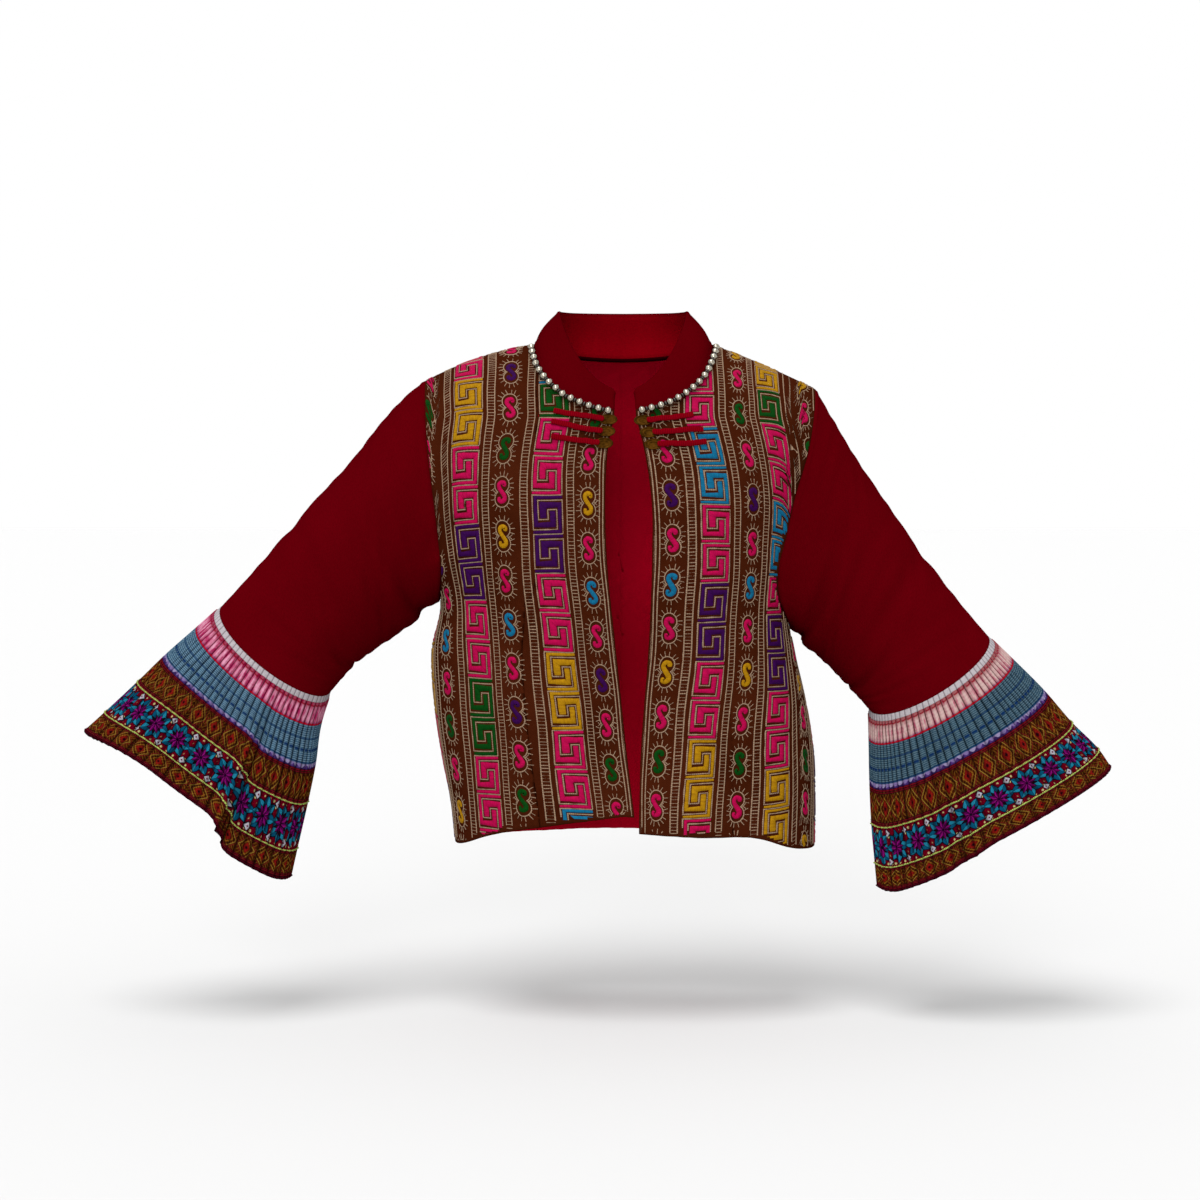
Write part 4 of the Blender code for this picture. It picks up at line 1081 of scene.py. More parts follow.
fromEnd = np.minimum(along, along[-1] - along)
near = np.clip(1 - fromEnd / collar["corner"], 0, 1)
cutOff = collar["corner"] * (1 - np.sqrt(1 - near**2))
tall = np.linalg.norm(top - base, axis=1)
top = base + (top - base) * (1 - cutOff / tall)[:, None]
up = np.linspace(0, 1, collar["rows"])
bulge = base * np.array((1.0, 1.0, 0.0)) * collar["bulge"]
ease = 0.0012 * np.sin(along * 38 + 1.3 * np.sin(along * 17))
grid = (base[:, None] + (top - base)[:, None] * up[None, :, None]
        + bulge[:, None] * np.sin(math.pi * up)[None, :, None])
normals = gridNormals(grid, False, grid * np.array((1.0, 1.0, 0.0)))
roll = (ease[:, None] * np.sin(math.pi * up)[None, :] + 0.0010 * np.exp(-((up - 0.05) / 0.03) ** 2)[None, :]
        + 0.0008 * np.exp(-((up - 0.96) / 0.03) ** 2)[None, :])
grid = grid + normals * roll[..., None]
piece = shell("collar_cloth", grid, grid - collar["wall"] * normals, False, [collarCloth, brightenedCollarFacing])
sewn(piece, "crimson_cotton", "collar")
rollLine = base[neckColumns + 2:3 * neckColumns - 1] + np.array((0.0, 0.0, 0.0010))
inward = unit(rollLine * np.array((1.0, 1.0, 0.0)))
roll = cordAlong("neck_seam_roll", rollLine - inward * (collar["wall"] + 0.0016), 0.0020, shadedSeamRollCloth, 10)
cutSheet(grid, False)
print("jacket: collar")


# flared, pleated cuffs

cuff = {
    "at": (0.00, 0.17, 0.40, 0.59, 0.84, 1.00),
    "left": {
        "top": ((0.4375, -0.2862), (0.4640, -0.3105), (0.4970, -0.3405), (0.5230, -0.3665), (0.5590, -0.4010),
                (0.5810, -0.4215)),
        "low": ((0.3205, -0.3814), (0.3310, -0.4150), (0.3375, -0.4595), (0.3450, -0.4960), (0.3570, -0.5480),
                (0.3640, -0.5790)),
    },
    "right": {
        "top": ((0.3975, -0.3187), (0.4240, -0.3450), (0.4580, -0.3800), (0.4840, -0.4110), (0.5130, -0.4410),
                (0.5255, -0.4600)),
        "low": ((0.2693, -0.4003), (0.2700, -0.4350), (0.2705, -0.4800), (0.2725, -0.5200), (0.2765, -0.5640),
                (0.2790, -0.5895)),
    },
    "deep": (0.049, 0.053, 0.060, 0.065, 0.071, 0.074), "y": (-0.032, -0.036, -0.041, -0.045, -0.050, -0.053),
    "bow": (0.018, 0.015, 0.012, 0.009, 0.006, 0.004),
    "fold": {
        "left": {"turn": 0.308, "before": -0.023, "after": 0.003, "width": 0.013, "depth": 0.014},
        "right": {"turn": 0.300, "before": -0.002, "after": 0.006, "width": 0.019, "depth": 0.013},
    },
    "foldStart": 0.20, "backFold": {"turn": 0.72, "rise": -0.010, "width": 0.09, "depth": 0.006},
    "tapeEnd": 0.034, "pinkEnd": 0.160, "batikEnd": 0.405, "gap": 0.0020, "pleats": 72, "perPleat": 7,
    "pleatAtSeam": 0.0016, "pleatAtHem": 0.0034, "wall": 0.0012, "tapeWall": 0.0014,
    "stars": 23, "lozenges": 30,
}


def cuffPoint(side, turn, v):
    turn, v = np.broadcast_arrays(np.asarray(turn, float), np.asarray(v, float))
    sign, edges, at = signOf[side], cuff[side], cuff["at"]
    top, low = ([curve(at, [p[k] for p in edges[name]], v) for k in (0, 1)] for name in ("top", "low"))
    deep, y, bow = (curve(at, cuff[name], v) for name in ("deep", "y", "bow"))
    upper = np.stack((sign * top[0], y, top[1]), axis=-1)
    lower = np.stack((sign * low[0], y, low[1]), axis=-1)
    across = (upper - lower) / 2
    hand = unit(np.stack((sign * np.abs(across[..., 2]), np.zeros_like(y), -np.abs(across[..., 0])), axis=-1))
    forward = hand * bow[..., None]
    forward[..., 1] -= deep
    angle = 2 * math.pi * turn[..., None]
    point = (upper + lower) / 2 + across * np.cos(angle) + forward * np.sin(angle)
    fold, behindFold = cuff["fold"][side], cuff["backFold"]
    off = (turn - fold["turn"]) / fold["width"]
    past = 0.5 * (1 + np.tanh(off))
    shift = (fold["before"] * ramp(turn / cuff["foldStart"]) * (1 - past)
             + fold["after"] * past * (1 - ramp((turn - 0.42) / 0.08)))
    behind = np.exp(-((turn - behindFold["turn"]) / behindFold["width"]) ** 2)
    inward = fold["depth"] * 1.6 * off * np.exp(-off * off) - behindFold["depth"] * behind
    point = point + hand * ((shift + behindFold["rise"] * behind) * v**1.3)[..., None]
    point[..., 1] += inward * v**0.8
    return point


def cuffNormal(side, turn, v):
    step = 0.004
    across = cuffPoint(side, (turn + step) % 1.0, v) - cuffPoint(side, (turn - step) % 1.0, v)
    along = cuffPoint(side, turn, np.minimum(v + step, 1.0)) - cuffPoint(side, turn, np.maximum(v - step, 0.0))
    normal = unit(np.cross(across, along))
    centre = (cuffPoint(side, turn * 0, v) + cuffPoint(side, turn * 0 + 0.5, v)) / 2
    flip = np.sign((normal * (cuffPoint(side, turn, v) - centre)).sum(axis=-1, keepdims=True))
    normal = normal * flip
    hand = unit(np.cross(cuffPoint(side, turn * 0, v) - cuffPoint(side, turn * 0 + 0.5, v),
                         cuffPoint(side, turn * 0 + 0.25, v) - cuffPoint(side, turn * 0 + 0.75, v)))
    flat = unit(normal - hand * (normal * hand).sum(axis=-1, keepdims=True))
    return np.where((v < cuff["pinkEnd"])[..., None], flat, normal)


def pleatPhase(side, turn):
    # pleats run a little unevenly round the cuff
    slip = 0.35 * np.sin(2 * math.pi * (3 * turn + 0.2)) + 0.22 * np.sin(2 * math.pi * (7 * turn + 0.6))
    return turn * cuff["pleats"] + slip * (1 if side == "left" else -1)


def pleatLift(side, turn, v):
    phase = pleatPhase(side, turn)
    ridgeShape = 2 * np.abs(np.sin(math.pi * phase)) ** 0.62 - 1
    number = np.floor(phase).astype(int) % cuff["pleats"]
    size = 0.82 + 0.26 * wobble(5 if side == "left" else 6, cuff["pleats"])[number]
    height = cuff["pleatAtSeam"] + (cuff["pleatAtHem"] - cuff["pleatAtSeam"]) * v
    return ridgeShape * size * height


def cuffSurface(side, turn, v, lift=0.0, pleated=1.0):
    turn, v = np.broadcast_arrays(np.asarray(turn, float), np.asarray(v, float))
    normal = cuffNormal(side, turn, v)
    return cuffPoint(side, turn, v) + normal * (pleatLift(side, turn, v) * pleated + lift)[..., None], normal


def cuffBand(name, side, start, end, rows, pleated, wall, look):
    count = cuff["pleats"] * cuff["perPleat"]
    turn = (np.arange(count) / count)[:, None]
    v = np.linspace(start, end, rows)[None, :]
    grid, normal = cuffSurface(side, turn, v, 0.0, pleated)
    turns = np.arange(count + 1) / count
    phase = pleatPhase(side, turns)
    maps = {
        "cloth": np.stack(np.meshgrid(turns, v[0], indexing="ij"), axis=2),
        "pleat": np.stack(np.meshgrid(phase, v[0], indexing="ij"), axis=2),
    }
    piece = shell(name, grid, grid - wall * normal, True, [look], maps)
    return piece, grid


def tubeOn(name, side, v, lift, radius, look, sides=6, twist=0.0):
    # a thin cord laid round the cuff
    count = cuff["pleats"] * cuff["perPleat"]
    turn = np.arange(count) / count
    centre, normal = cuffSurface(side, turn, np.full(count, v), lift)
    run = unit(np.roll(centre, -1, axis=0) - np.roll(centre, 1, axis=0))
    up = np.cross(run, normal)
    angles = 2 * math.pi * np.arange(sides) / sides
    swell = radius * (1 + twist * np.abs(np.sin(np.arange(count) * 1.7)))
    rings = (centre[:, None] + swell[:, None, None] * (normal[:, None] * np.cos(angles)[None, :, None]
                                                      + up[:, None] * np.sin(angles)[None, :, None]))
    index = np.arange(count * sides).reshape(count, sides)
    a, b = index, np.roll(index, -1, axis=0)
    faces = np.stack((a, np.roll(a, -1, axis=1), np.roll(b, -1, axis=1), b), axis=2).reshape(-1, 4)
    mesh = bpy.data.meshes.new(name)
    mesh.from_pydata(rings.reshape(-1, 3), [], faces.tolist())
    layer = mesh.uv_layers.new(name="cloth")
    places = np.stack(np.meshgrid(turn, np.arange(sides) / sides, indexing="ij"), axis=2).reshape(-1, 2)
    layer.data.foreach_set("uv", places[faces.ravel()].astype(np.float32).ravel())
    bm = bmesh.new()
    bm.from_mesh(mesh)
    bmesh.ops.recalc_face_normals(bm, faces=bm.faces)
    bm.to_mesh(mesh)
    bm.free()
    mesh.materials.append(look)
    mesh.shade_smooth()
    made = bpy.data.objects.new(name, mesh)
    bpy.context.collection.objects.link(made)
    sewn(made, None)
    return made


def paintedPleatShade(made):
    # painted shade: a dark line in each pleat's trough
    phase, _, _ = made.map("pleat")
    return abs((phase * math.pi).sin()).below(0.30, 0.28), phase


def tapeFinish():
    made = Finish("white_pleated_tape", 0.85)
    troughShade, _ = paintedPleatShade(made)
    fuzz = made.noise(made.place(), 600, 2.0)
    tone = made.mix(fuzz, dye(146, 138, 142), dye(190, 184, 188))
    # painted shade: the tape darkens in each pleat trough
    return made.finish(made.mix(troughShade * 0.7, tone, dye(86, 70, 78)), fuzz, 0.0002)


def pinkFinish(name, base, strong, pale, deep, bias):
    # tie-dyed streaks that follow the pleats, with red stitching; painted highlight along the pleat ridges and
    # painted shade in the deep colour in the troughs
    made = Finish(name, 0.85)
    troughShade, phase = paintedPleatShade(made)
    u, v, uv = made.map()
    _, _, pleatMap = made.map("pleat")
    streak = made.noise(pleatMap, 1.0, 3.0, 0.6, (1.7, 13.0, 1.0))
    fine = made.noise(pleatMap, 1.0, 2.0, 0.6, (5.0, 9.0, 1.0))
    ridgeHighlight = abs((phase * math.pi).sin()).above(0.88, 0.10)
    # painted highlight: paler along each pleat ridge
    tone = made.mix((streak - 0.5) * 3.6 + bias + (fine - 0.5) * 0.8 - ridgeHighlight * 0.45, pale, base)
    edges = v.below(0.060, 0.018).either(v.above(0.142, 0.012)) * 0.8
    tone = made.mix(edges, tone, strong)
    tone = made.mix(v.above(0.140, 0.010) * fine.above(0.5, 0.1) * 0.55, tone, dye(92, 60, 120))
    # painted shade: the deep colour fills the pleat troughs
    tone = made.mix(troughShade * 0.92, tone, deep)
    dashes = (phase * 1.0 + 0.25).fraction().above(0.30, 0.1) * v.near(0.050, 0.0042, 0.002)
    tone = made.mix(dashes * 0.85, tone, dye(128, 0, 24))
    tone = made.mix(v.near(0.1555, 0.0060, 0.0018) * 0.95, tone, dye(158, 2, 22))
    return made.finish(tone, (v * (math.pi / 0.010)).sin() * 0.5 + fine, 0.00025)


def batikFinish(name, tint):
    made = Finish(name, 0.85)
    troughShade, phase = paintedPleatShade(made)
    u, v, uv = made.map()
    _, _, pleatMap = made.map("pleat")
    clouds = made.noise(pleatMap, 1.0, 3.0, 0.6, (0.8, 12.0, 1.0))
    grain = made.noise(pleatMap, 1.0, 2.0, 0.6, (4.5, 70.0, 1.0))
    tone = made.mix((clouds - 0.5) * 3.0 + 0.5, tint[0], tint[1])
    crackle = abs((v * (math.pi / 0.0115) + (clouds - 0.5) * 0.5).sin()).above(0.55, 0.22)
    crackle = crackle * grain.above(0.38, 0.14)
    tone = made.mix(crackle * 0.85, tone, tint[2])
    navy = dye(6, 40, 88, 0.6)
    dashes = phase.fraction().near(0.5, 0.33, 0.06) * v.near(0.300, 0.0078, 0.002)
    # painted shade: the darkest tint fills the pleat troughs
    tone = made.mix(troughShade * 0.92, tone, tint[3])
    lines = v.near(0.236, 0.0026, 0.0014).either(v.near(0.372, 0.0034, 0.0015)).either(dashes)
    tone = made.mix(lines * 0.9, tone, navy)
    lace = v.above(0.378, 0.002)
    wave = abs((u * (math.pi * 84)).sin())
    scallop = (wave * 0.016 + 0.382 - v).above(0.0, 0.0025)
    laceTone = made.mix(scallop, dye(44, 22, 74), dye(140, 128, 164))
    laceTone = made.mix((u * 42).fraction().above(0.5, 0.1) * 0.5, laceTone, dye(88, 50, 128))
    # painted shade in the pleat troughs of the lace edge
    tone = made.mix(lace * 0.95, tone, made.mix(troughShade * 0.6, laceTone, dye(24, 12, 40)))
    return made.finish(tone, crackle + grain * 0.6 + lace, 0.00030)


def lozengeBand(made, tone, u, v, middle, half, speck, grain):
    # fine gold lozenges with red hearts on a brown ground, dark red lines at the edges
    cell = (u * cuff["lozenges"] + middle * 3).fraction() - 0.5
    side = (v - middle) / half
    diamond = abs(cell) * 1.9 + abs(side) * 0.92
    patchy = grain.above(0.42, 0.12)
    ground = made.mix((speck - 0.5) * 2.8 + 0.45, dye(34, 8, 4), dye(86, 36, 9))
    net = abs((abs(cell) - abs(side) * 0.46) * 7.0).fraction().near(0.5, 0.12, 0.10) * patchy
    ground = made.mix(net * 0.6, ground, dye(134, 92, 26))
    ground = made.mix(diamond.near(0.98, 0.035, 0.03) * patchy * 0.8, ground, dye(120, 20, 30))
    ground = made.mix(diamond.near(0.82, 0.036, 0.03), ground, dye(142, 108, 42))
    ground = made.mix(diamond.near(0.66, 0.030, 0.03) * 0.8, ground, dye(30, 8, 6))
    ground = made.mix(diamond.near(0.50, 0.045, 0.03) * patchy * 0.8, ground, dye(150, 96, 30))
    ground = made.mix(diamond.below(0.38, 0.05) * 0.85, ground, dye(122, 14, 16))
    ground = made.mix(diamond.below(0.13, 0.04), ground, dye(30, 6, 12))
    ground = made.mix(abs(cell).above(0.480, 0.010) * 0.8, ground, dye(26, 8, 6))
    rail = abs(side).near(0.92, 0.032, 0.015).either(abs(side).near(0.80, 0.022, 0.012))
    ground = made.mix(abs(side).above(0.72, 0.02) * 0.8, ground, dye(34, 6, 10))
    ground = made.mix(rail * 0.85, ground, dye(112, 6, 28))
    ground = made.mix(v.near(middle, half, 0.0015), tone, ground)
    return ground, diamond.near(0.82, 0.05, 0.03) * v.near(middle, half, 0.002)


def starBand(made, tone, u, v, grain):
    # eight-petalled stars with purple hearts on crimson, dots and small diamonds between
    cell = (u * cuff["stars"]).fraction() - 0.5
    side = (v - 0.72) / 0.24
    x, y = cell * 0.0268, side * 0.0330
    radius = (x * x + y * y) ** 0.5
    turn = made.node("ShaderNodeMath", {"operation": "ARCTAN2"}, {0: y, 1: x}) / (2 * math.pi) + 1.0
    sector = (turn * 8 + 0.5).fraction() - 0.5
    spread = abs(sector) * 2
    ground = made.mix((grain - 0.5) * 2.2 + 0.5, dye(54, 0, 10), dye(122, 2, 28))
    dotsU = (u * (cuff["stars"] * 8)).fraction() - 0.5
    dotsV = (v * (8 / 0.24 * 1.08)).fraction() - 0.5
    checker = (dotsU * dotsU + dotsV * dotsV).below(0.085, 0.03)
    odd = ((u * (cuff["stars"] * 8)).floor() + (v * (8 / 0.24 * 1.08)).floor()) * 0.5
    dots = checker * odd.fraction().below(0.25, 0.01) * radius.above(0.0138, 0.0006)
    ground = made.mix(dots * 0.9, ground, dye(184, 176, 120))
    apart = (0.5 - abs(cell)) * 0.0262
    small = apart + abs(abs(side) - 0.36) * 0.0325
    ground = made.mix(small.below(0.0042, 0.0004), ground, dye(12, 6, 16))
    ground = made.mix(small.below(0.0030, 0.0004), ground, dye(170, 168, 178))
    ground = made.mix(small.below(0.0010, 0.0003), ground, dye(96, 20, 50))

    def kites(inside, outside, fat):
        # petals pointed at both ends
        share = (radius - inside) / (outside - inside)
        return (share / 0.58).lower((1 - share) / 0.42) * fat - spread
    outer = kites(0.0030, 0.0144, 0.98)
    teal = made.mix(sector.above(0.0, 0.03), dye(8, 74, 104), dye(30, 118, 146))
    teal = made.shade(teal, 0.55 + grain * 0.8)
    ground = made.mix(radius.below(0.0114, 0.0008) * 0.9, ground, dye(6, 8, 18))
    ground = made.mix(outer.above(-0.20, 0.05), ground, dye(6, 8, 18))
    ground = made.mix(outer.above(0.02, 0.06), ground, teal)
    ground = made.mix(abs(sector).below(0.030, 0.02) * outer.above(0.1, 0.05) * 0.7, ground, dye(4, 22, 34))
    inner = kites(-0.0018, 0.0086, 0.92)
    purple = made.mix(sector.above(0.0, 0.03), dye(74, 6, 66), dye(126, 14, 104))
    ground = made.mix(inner.above(-0.18, 0.05), ground, dye(10, 4, 18))
    ground = made.mix(inner.above(0.03, 0.06), ground, made.shade(purple, 0.6 + grain * 0.8))
    ground = made.mix(radius.below(0.0012, 0.0003), ground, dye(20, 4, 26))
    return made.mix(v.near(0.72, 0.12, 0.0015), tone, ground), outer.above(0.0, 0.1) * v.near(0.72, 0.12, 0.002)


def borderFinish():
    made = Finish("figured_border_cloth", 0.82)
    troughShade, phase = paintedPleatShade(made)
    u, v, uv = made.map()
    speck = made.noise(uv, 1.0, 3.0, 0.6, (90.0, 60.0, 1.0))
    grain = made.noise(uv, 1.0, 2.0, 0.6, (420.0, 220.0, 1.0))
    tone = made.mix(grain, dye(44, 4, 12), dye(30, 2, 8))
    tone, goldUpper = lozengeBand(made, tone, u, v, 0.5025, 0.0975, speck, grain)
    tone, raised = starBand(made, tone, u, v, grain)
    tone, goldLower = lozengeBand(made, tone, u, v, 0.9125, 0.0725, speck, grain)
    threadsAcross = (u * (math.pi * 620)).sin() * 0.5 + (v * (math.pi * 190)).sin() * 0.5
    tone = made.shade(tone, 0.88 + threadsAcross * 0.14)
    # painted shade: darker in the pleat troughs
    tone = made.mix(troughShade * 0.6, tone, dye(16, 4, 8))
    return made.finish(tone, raised * 1.4 + goldUpper + goldLower + grain + threadsAcross * 0.4, 0.00032)


def cordFinish(name, bright, dark, twists):
    made = Finish(name, 0.7)
    u, v, uv = made.map()
    strand = abs((u * (math.pi * twists) + v * math.pi).sin())
    tone = made.mix(strand * 1.2 - 0.15, dark, bright)
    return made.finish(tone, strand, 0.0003)


looks = {
    "tape": tapeFinish(),
    # the fourth colour of each pink finish and the fourth batik tint are the painted shade of the pleat troughs
    "pink": {"left": pinkFinish("pink_tie_dye_left", dye(156, 34, 82), dye(122, 4, 40), dye(206, 142, 166),
                               dye(74, 0, 20), 0.70),
             "right": pinkFinish("pink_tie_dye_right", dye(158, 44, 84), dye(122, 34, 44), dye(186, 156, 152),
                                dye(66, 10, 16), 0.30)},
    "batik": {"left": batikFinish("blue_batik_left", (dye(10, 54, 86, 0.5), dye(52, 98, 128, 0.5),
                                                      dye(124, 156, 178, 0.5), dye(2, 18, 34, 0.5))),
              "right": batikFinish("blue_batik_right", (dye(12, 52, 80, 0.42), dye(46, 86, 110, 0.42),
                                                        dye(112, 140, 154, 0.42), dye(2, 16, 28, 0.42)))},
    "border": borderFinish(),
    "lime": cordFinish("lime_edge_cord", dye(186, 204, 104), dye(54, 72, 30), 420),
    "maroon": cordFinish("maroon_hem_cord", dye(74, 6, 22), dye(26, 2, 8), 420),
}
for side in ("left", "right"):
    gap, ends = 0.0004, cuff
    piece, grid = cuffBand(f"cuff_tape_cloth_{side}", side, 0.0, cuff["tapeEnd"], 6, 0.22, cuff["tapeWall"],
                           looks["tape"])
    sewn(piece, "white_tape", f"cuff_tape_{side}")
    cutSheet(grid, True)
    piece, grid = cuffBand(f"cuff_pink_cloth_{side}", side, cuff["tapeEnd"] + gap, cuff["pinkEnd"], 10, 1.0,
                           cuff["wall"], looks["pink"][side])
    sewn(piece, "pink_tie_dye", f"cuff_pink_band_{side}")
    cutSheet(grid, True)
    piece, grid = cuffBand(f"cuff_batik_cloth_{side}", side, cuff["pinkEnd"] + gap, cuff["batikEnd"], 16, 1.0,
                           cuff["wall"], looks["batik"][side])
    sewn(piece, "blue_batik", f"cuff_batik_band_{side}")
    cutSheet(grid, True)
    trims = [tubeOn(f"lime_cord_{side}_{k}", side, at, 0.0004, 0.00085, looks["lime"], 6, 0.25)
             for k, at in enumerate((0.600, 0.840), 1)]
    trims.append(tubeOn(f"hem_cord_{side}", side, 0.992, 0.0001, 0.0011, looks["maroon"]))
    piece, grid = cuffBand(f"cuff_border_cloth_{side}", side, cuff["batikEnd"] + gap, 1.0, 36, 1.0,
                           cuff["wall"], looks["border"])
    sewn(piece, "figured_border", f"cuff_border_{side}")
    cutSheet(grid, True)
print("jacket: cuffs")


# bead rows along the neckline

beads = {
    "radius": 0.0041, "pitch": 0.0106, "lift": 0.0010, "inset": 0.0030, "short": 0.09, "points": 61,
    "seedRadius": 0.0026,
}


def silverFinish():
    made = Finish("polished_silver", 0.22, metallic=1.0)
    # the silver's colour and roughness vary in blotches from dark to bright
    blotch = made.noise(made.place(), 420, 3.0, 0.6)
    tone = made.mix(blotch, dye(74, 64, 48, 1.0), dye(206, 200, 184, 1.0))
    return made.finish(tone, blotch, 0.00012, 0.10 + blotch * 0.20)


def darkSeedFinish():
    made = Finish("dark_seed_bead", 0.35, specular=0.5)
    blotch = made.noise(made.place(), 500, 2.0)
    return made.finish(made.mix(blotch, dye(20, 14, 12), dye(46, 34, 28)), blotch, 0.0001)


def neckPath(side):
    start = math.asin(abs(float(curve(opening["z"], opening[side], -body["frontNeckDrop"]))) / body["neckHalfWidth"])
    turns = np.linspace(start, math.pi / 2 - beads["short"], beads["points"])
    x = signOf[side] * (body["neckHalfWidth"] + beads["inset"]) * np.sin(turns)
    z = np.minimum(-(body["frontNeckDrop"] + beads["inset"]) * np.cos(turns), ridge(x) - 1e-6)
    angle, turned, step = angleAt(side, x, z), 0.01, 0.0005
    middle = bodyPoint(side, "front", angle, z)
    across = bodyPoint(side, "front", angle + turned, z) - bodyPoint(side, "front", angle - turned, z)
    normal = unit(np.cross(across, bodyPoint(side, "front", angle, z - step) - middle))
    return middle + (beads["radius"] + beads["lift"]) * normal * np.where(normal[:, 2:] > 0, 1, -1)


def lathe(name, profile, sides):
    # a profile of (radius, height) spun about Z with the spin tool
    mesh = bpy.data.meshes.new(name)
    mesh.from_pydata([(r, 0.0, h) for r, h in profile], [(k, k + 1) for k in range(len(profile) - 1)], [])
    made = bpy.data.objects.new(name, mesh)
    bpy.context.collection.objects.link(made)
    bpy.context.view_layer.objects.active = made
    made.select_set(True)
    bpy.ops.object.mode_set(mode="EDIT")
    bpy.ops.mesh.select_all(action="SELECT")
    bpy.ops.mesh.spin(steps=sides, angle=2 * math.pi, center=(0, 0, 0), axis=(0, 0, 1))
    bpy.ops.mesh.select_all(action="SELECT")
    bpy.ops.mesh.remove_doubles(threshold=1e-6)
    bpy.ops.mesh.normals_make_consistent(inside=False)
    bpy.ops.object.mode_set(mode="OBJECT")
    made.select_set(False)
    return made


def settle(piece, centre, x, y, z):
    # put a piece modelled about the origin at its place, in its mesh
    turnTo = np.stack((x, y, z), axis=1)
    for vertex in piece.data.vertices:
        vertex.co = centre + turnTo @ np.array(vertex.co)


def joined(pieces, name):
    bpy.ops.object.select_all(action="DESELECT")
    for piece in pieces:
        piece.select_set(True)
    bpy.context.view_layer.objects.active = pieces[0]
    bpy.ops.object.join()
    made = bpy.context.view_layer.objects.active
    made.name = made.data.name = name
    made.select_set(False)
    return made


silver, darkSeed = silverFinish(), darkSeedFinish()
radius = beads["radius"]
beadProfile = [(0.0, -0.94 * radius)]
for k in range(1, 14):
    lat = -math.pi / 2 + math.pi * k / 14
    flange = 1.0 + 0.10 * math.exp(-(lat / 0.16) ** 2)
    beadProfile.append((radius * 0.93 * math.cos(lat) ** 0.9 * flange, radius * 0.94 * math.sin(lat)))
beadProfile.append((0.0, 0.94 * radius))
beadShape = lathe("bead_shape", beadProfile, 20)
beadShape.data.materials.append(silver)
beadShape.data.shade_smooth()
seed = beads["seedRadius"]
seedShape = lathe("seed_shape", [(0.0006, -0.0009), (seed * 0.8, -0.0008), (seed, 0.0), (seed * 0.8, 0.0008),
                                 (0.0006, 0.0009)], 10)
seedShape.data.materials.append(darkSeed)
seedShape.data.shade_smooth()
for side in ("left", "right"):
    path = neckPath(side)
    lengths = np.concatenate(((0.0,), np.cumsum(np.linalg.norm(np.diff(path, axis=0), axis=1))))
    count = round((lengths[-1] - radius) / beads["pitch"])
    pitch = lengths[-1] / count
    pieces = []
    for k in range(2 * count):
        at = (k / 2 + 0.5) * pitch
        centre, ahead, behind = (np.array([np.interp(at + d, lengths, path[:, c]) for c in range(3)])
                                 for d in (0.0, 0.003, -0.003))
        if at > lengths[-1] - 0.001:
            continue
        forward = unit(ahead - behind)
        tilt = 0.12 * wobble(40 + k, 3)
        out = unit(np.cross(forward, np.array((0.0, 0.0, 1.0)) + tilt))
        made = (beadShape if k % 2 == 0 else seedShape).copy()
        made.data = made.data.copy()
        bpy.context.collection.objects.link(made)
        settle(made, centre, out, np.cross(forward, out), forward)
        pieces.append(made)
    piece = joined(pieces, f"neck_beads_{side}")
    sewn(piece, "silver", f"bead_string_{side}")
for shape in (beadShape, seedShape):
    bpy.data.objects.remove(shape)
print("jacket: beads")


# corded tabs and brass discs

tabs = {
    "left": (((-0.0745, -0.0755), (-0.0205, -0.0850)), ((-0.0770, -0.0870), (-0.0225, -0.0974)),
             ((-0.0770, -0.1025), (-0.0250, -0.1098))),
    "right": (((0.0735, -0.0795), (0.0240, -0.0860)), ((0.0840, -0.0955), (0.0300, -0.0985)),
              ((0.0875, -0.1080), (0.0350, -0.1110))),
    "width": 0.0062, "thickness": 0.0028, "lift": 0.0006, "sides": 14, "stations": 74, "waver": 0.0007,
    "discWidth": 0.0200, "discHeight": 0.0118, "discThickness": 0.0014, "discLift": 0.0009,
}


def frontPoint(x, z):
    side = "left" if x < 0 else "right"
    x, z = np.array([x]), np.array([z])
    return bodyPoint(side, "front", angleAt(side, x, z), z)[0]


def frontNormal(x, z):
    step = 0.002
    return unit(np.cross(frontPoint(x + step, z) - frontPoint(x - step, z),
                         frontPoint(x, z + step) - frontPoint(x, z - step)))


def redCordFinish():
    made = Finish("fuzzy_red_cord", 0.9)
    u, v, uv = made.map()
    fuzz = made.noise(made.place(), 1500, 3.0, 0.7)
    twist = abs((u * (math.pi / 0.0021) + v * 3.0).sin())
    tone = made.mix(fuzz * 0.8 + twist * 0.4, dye(66, 0, 8), dye(136, 2, 18))
    return made.finish(tone, fuzz * 1.4 + twist * 0.7, 0.00045)


def brassFinish():
    made = Finish("old_brass", 0.42, metallic=0.75)
    blotch = made.noise(made.place(), 260, 4.0, 0.65)
    tone = made.mix((blotch - 0.5) * 2.2 + 0.5, dye(30, 15, 2, 0.9), dye(76, 48, 10, 0.9))
    return made.finish(tone, blotch, 0.0002, 0.30 + blotch * 0.35)


redCord, brass = redCordFinish(), brassFinish()


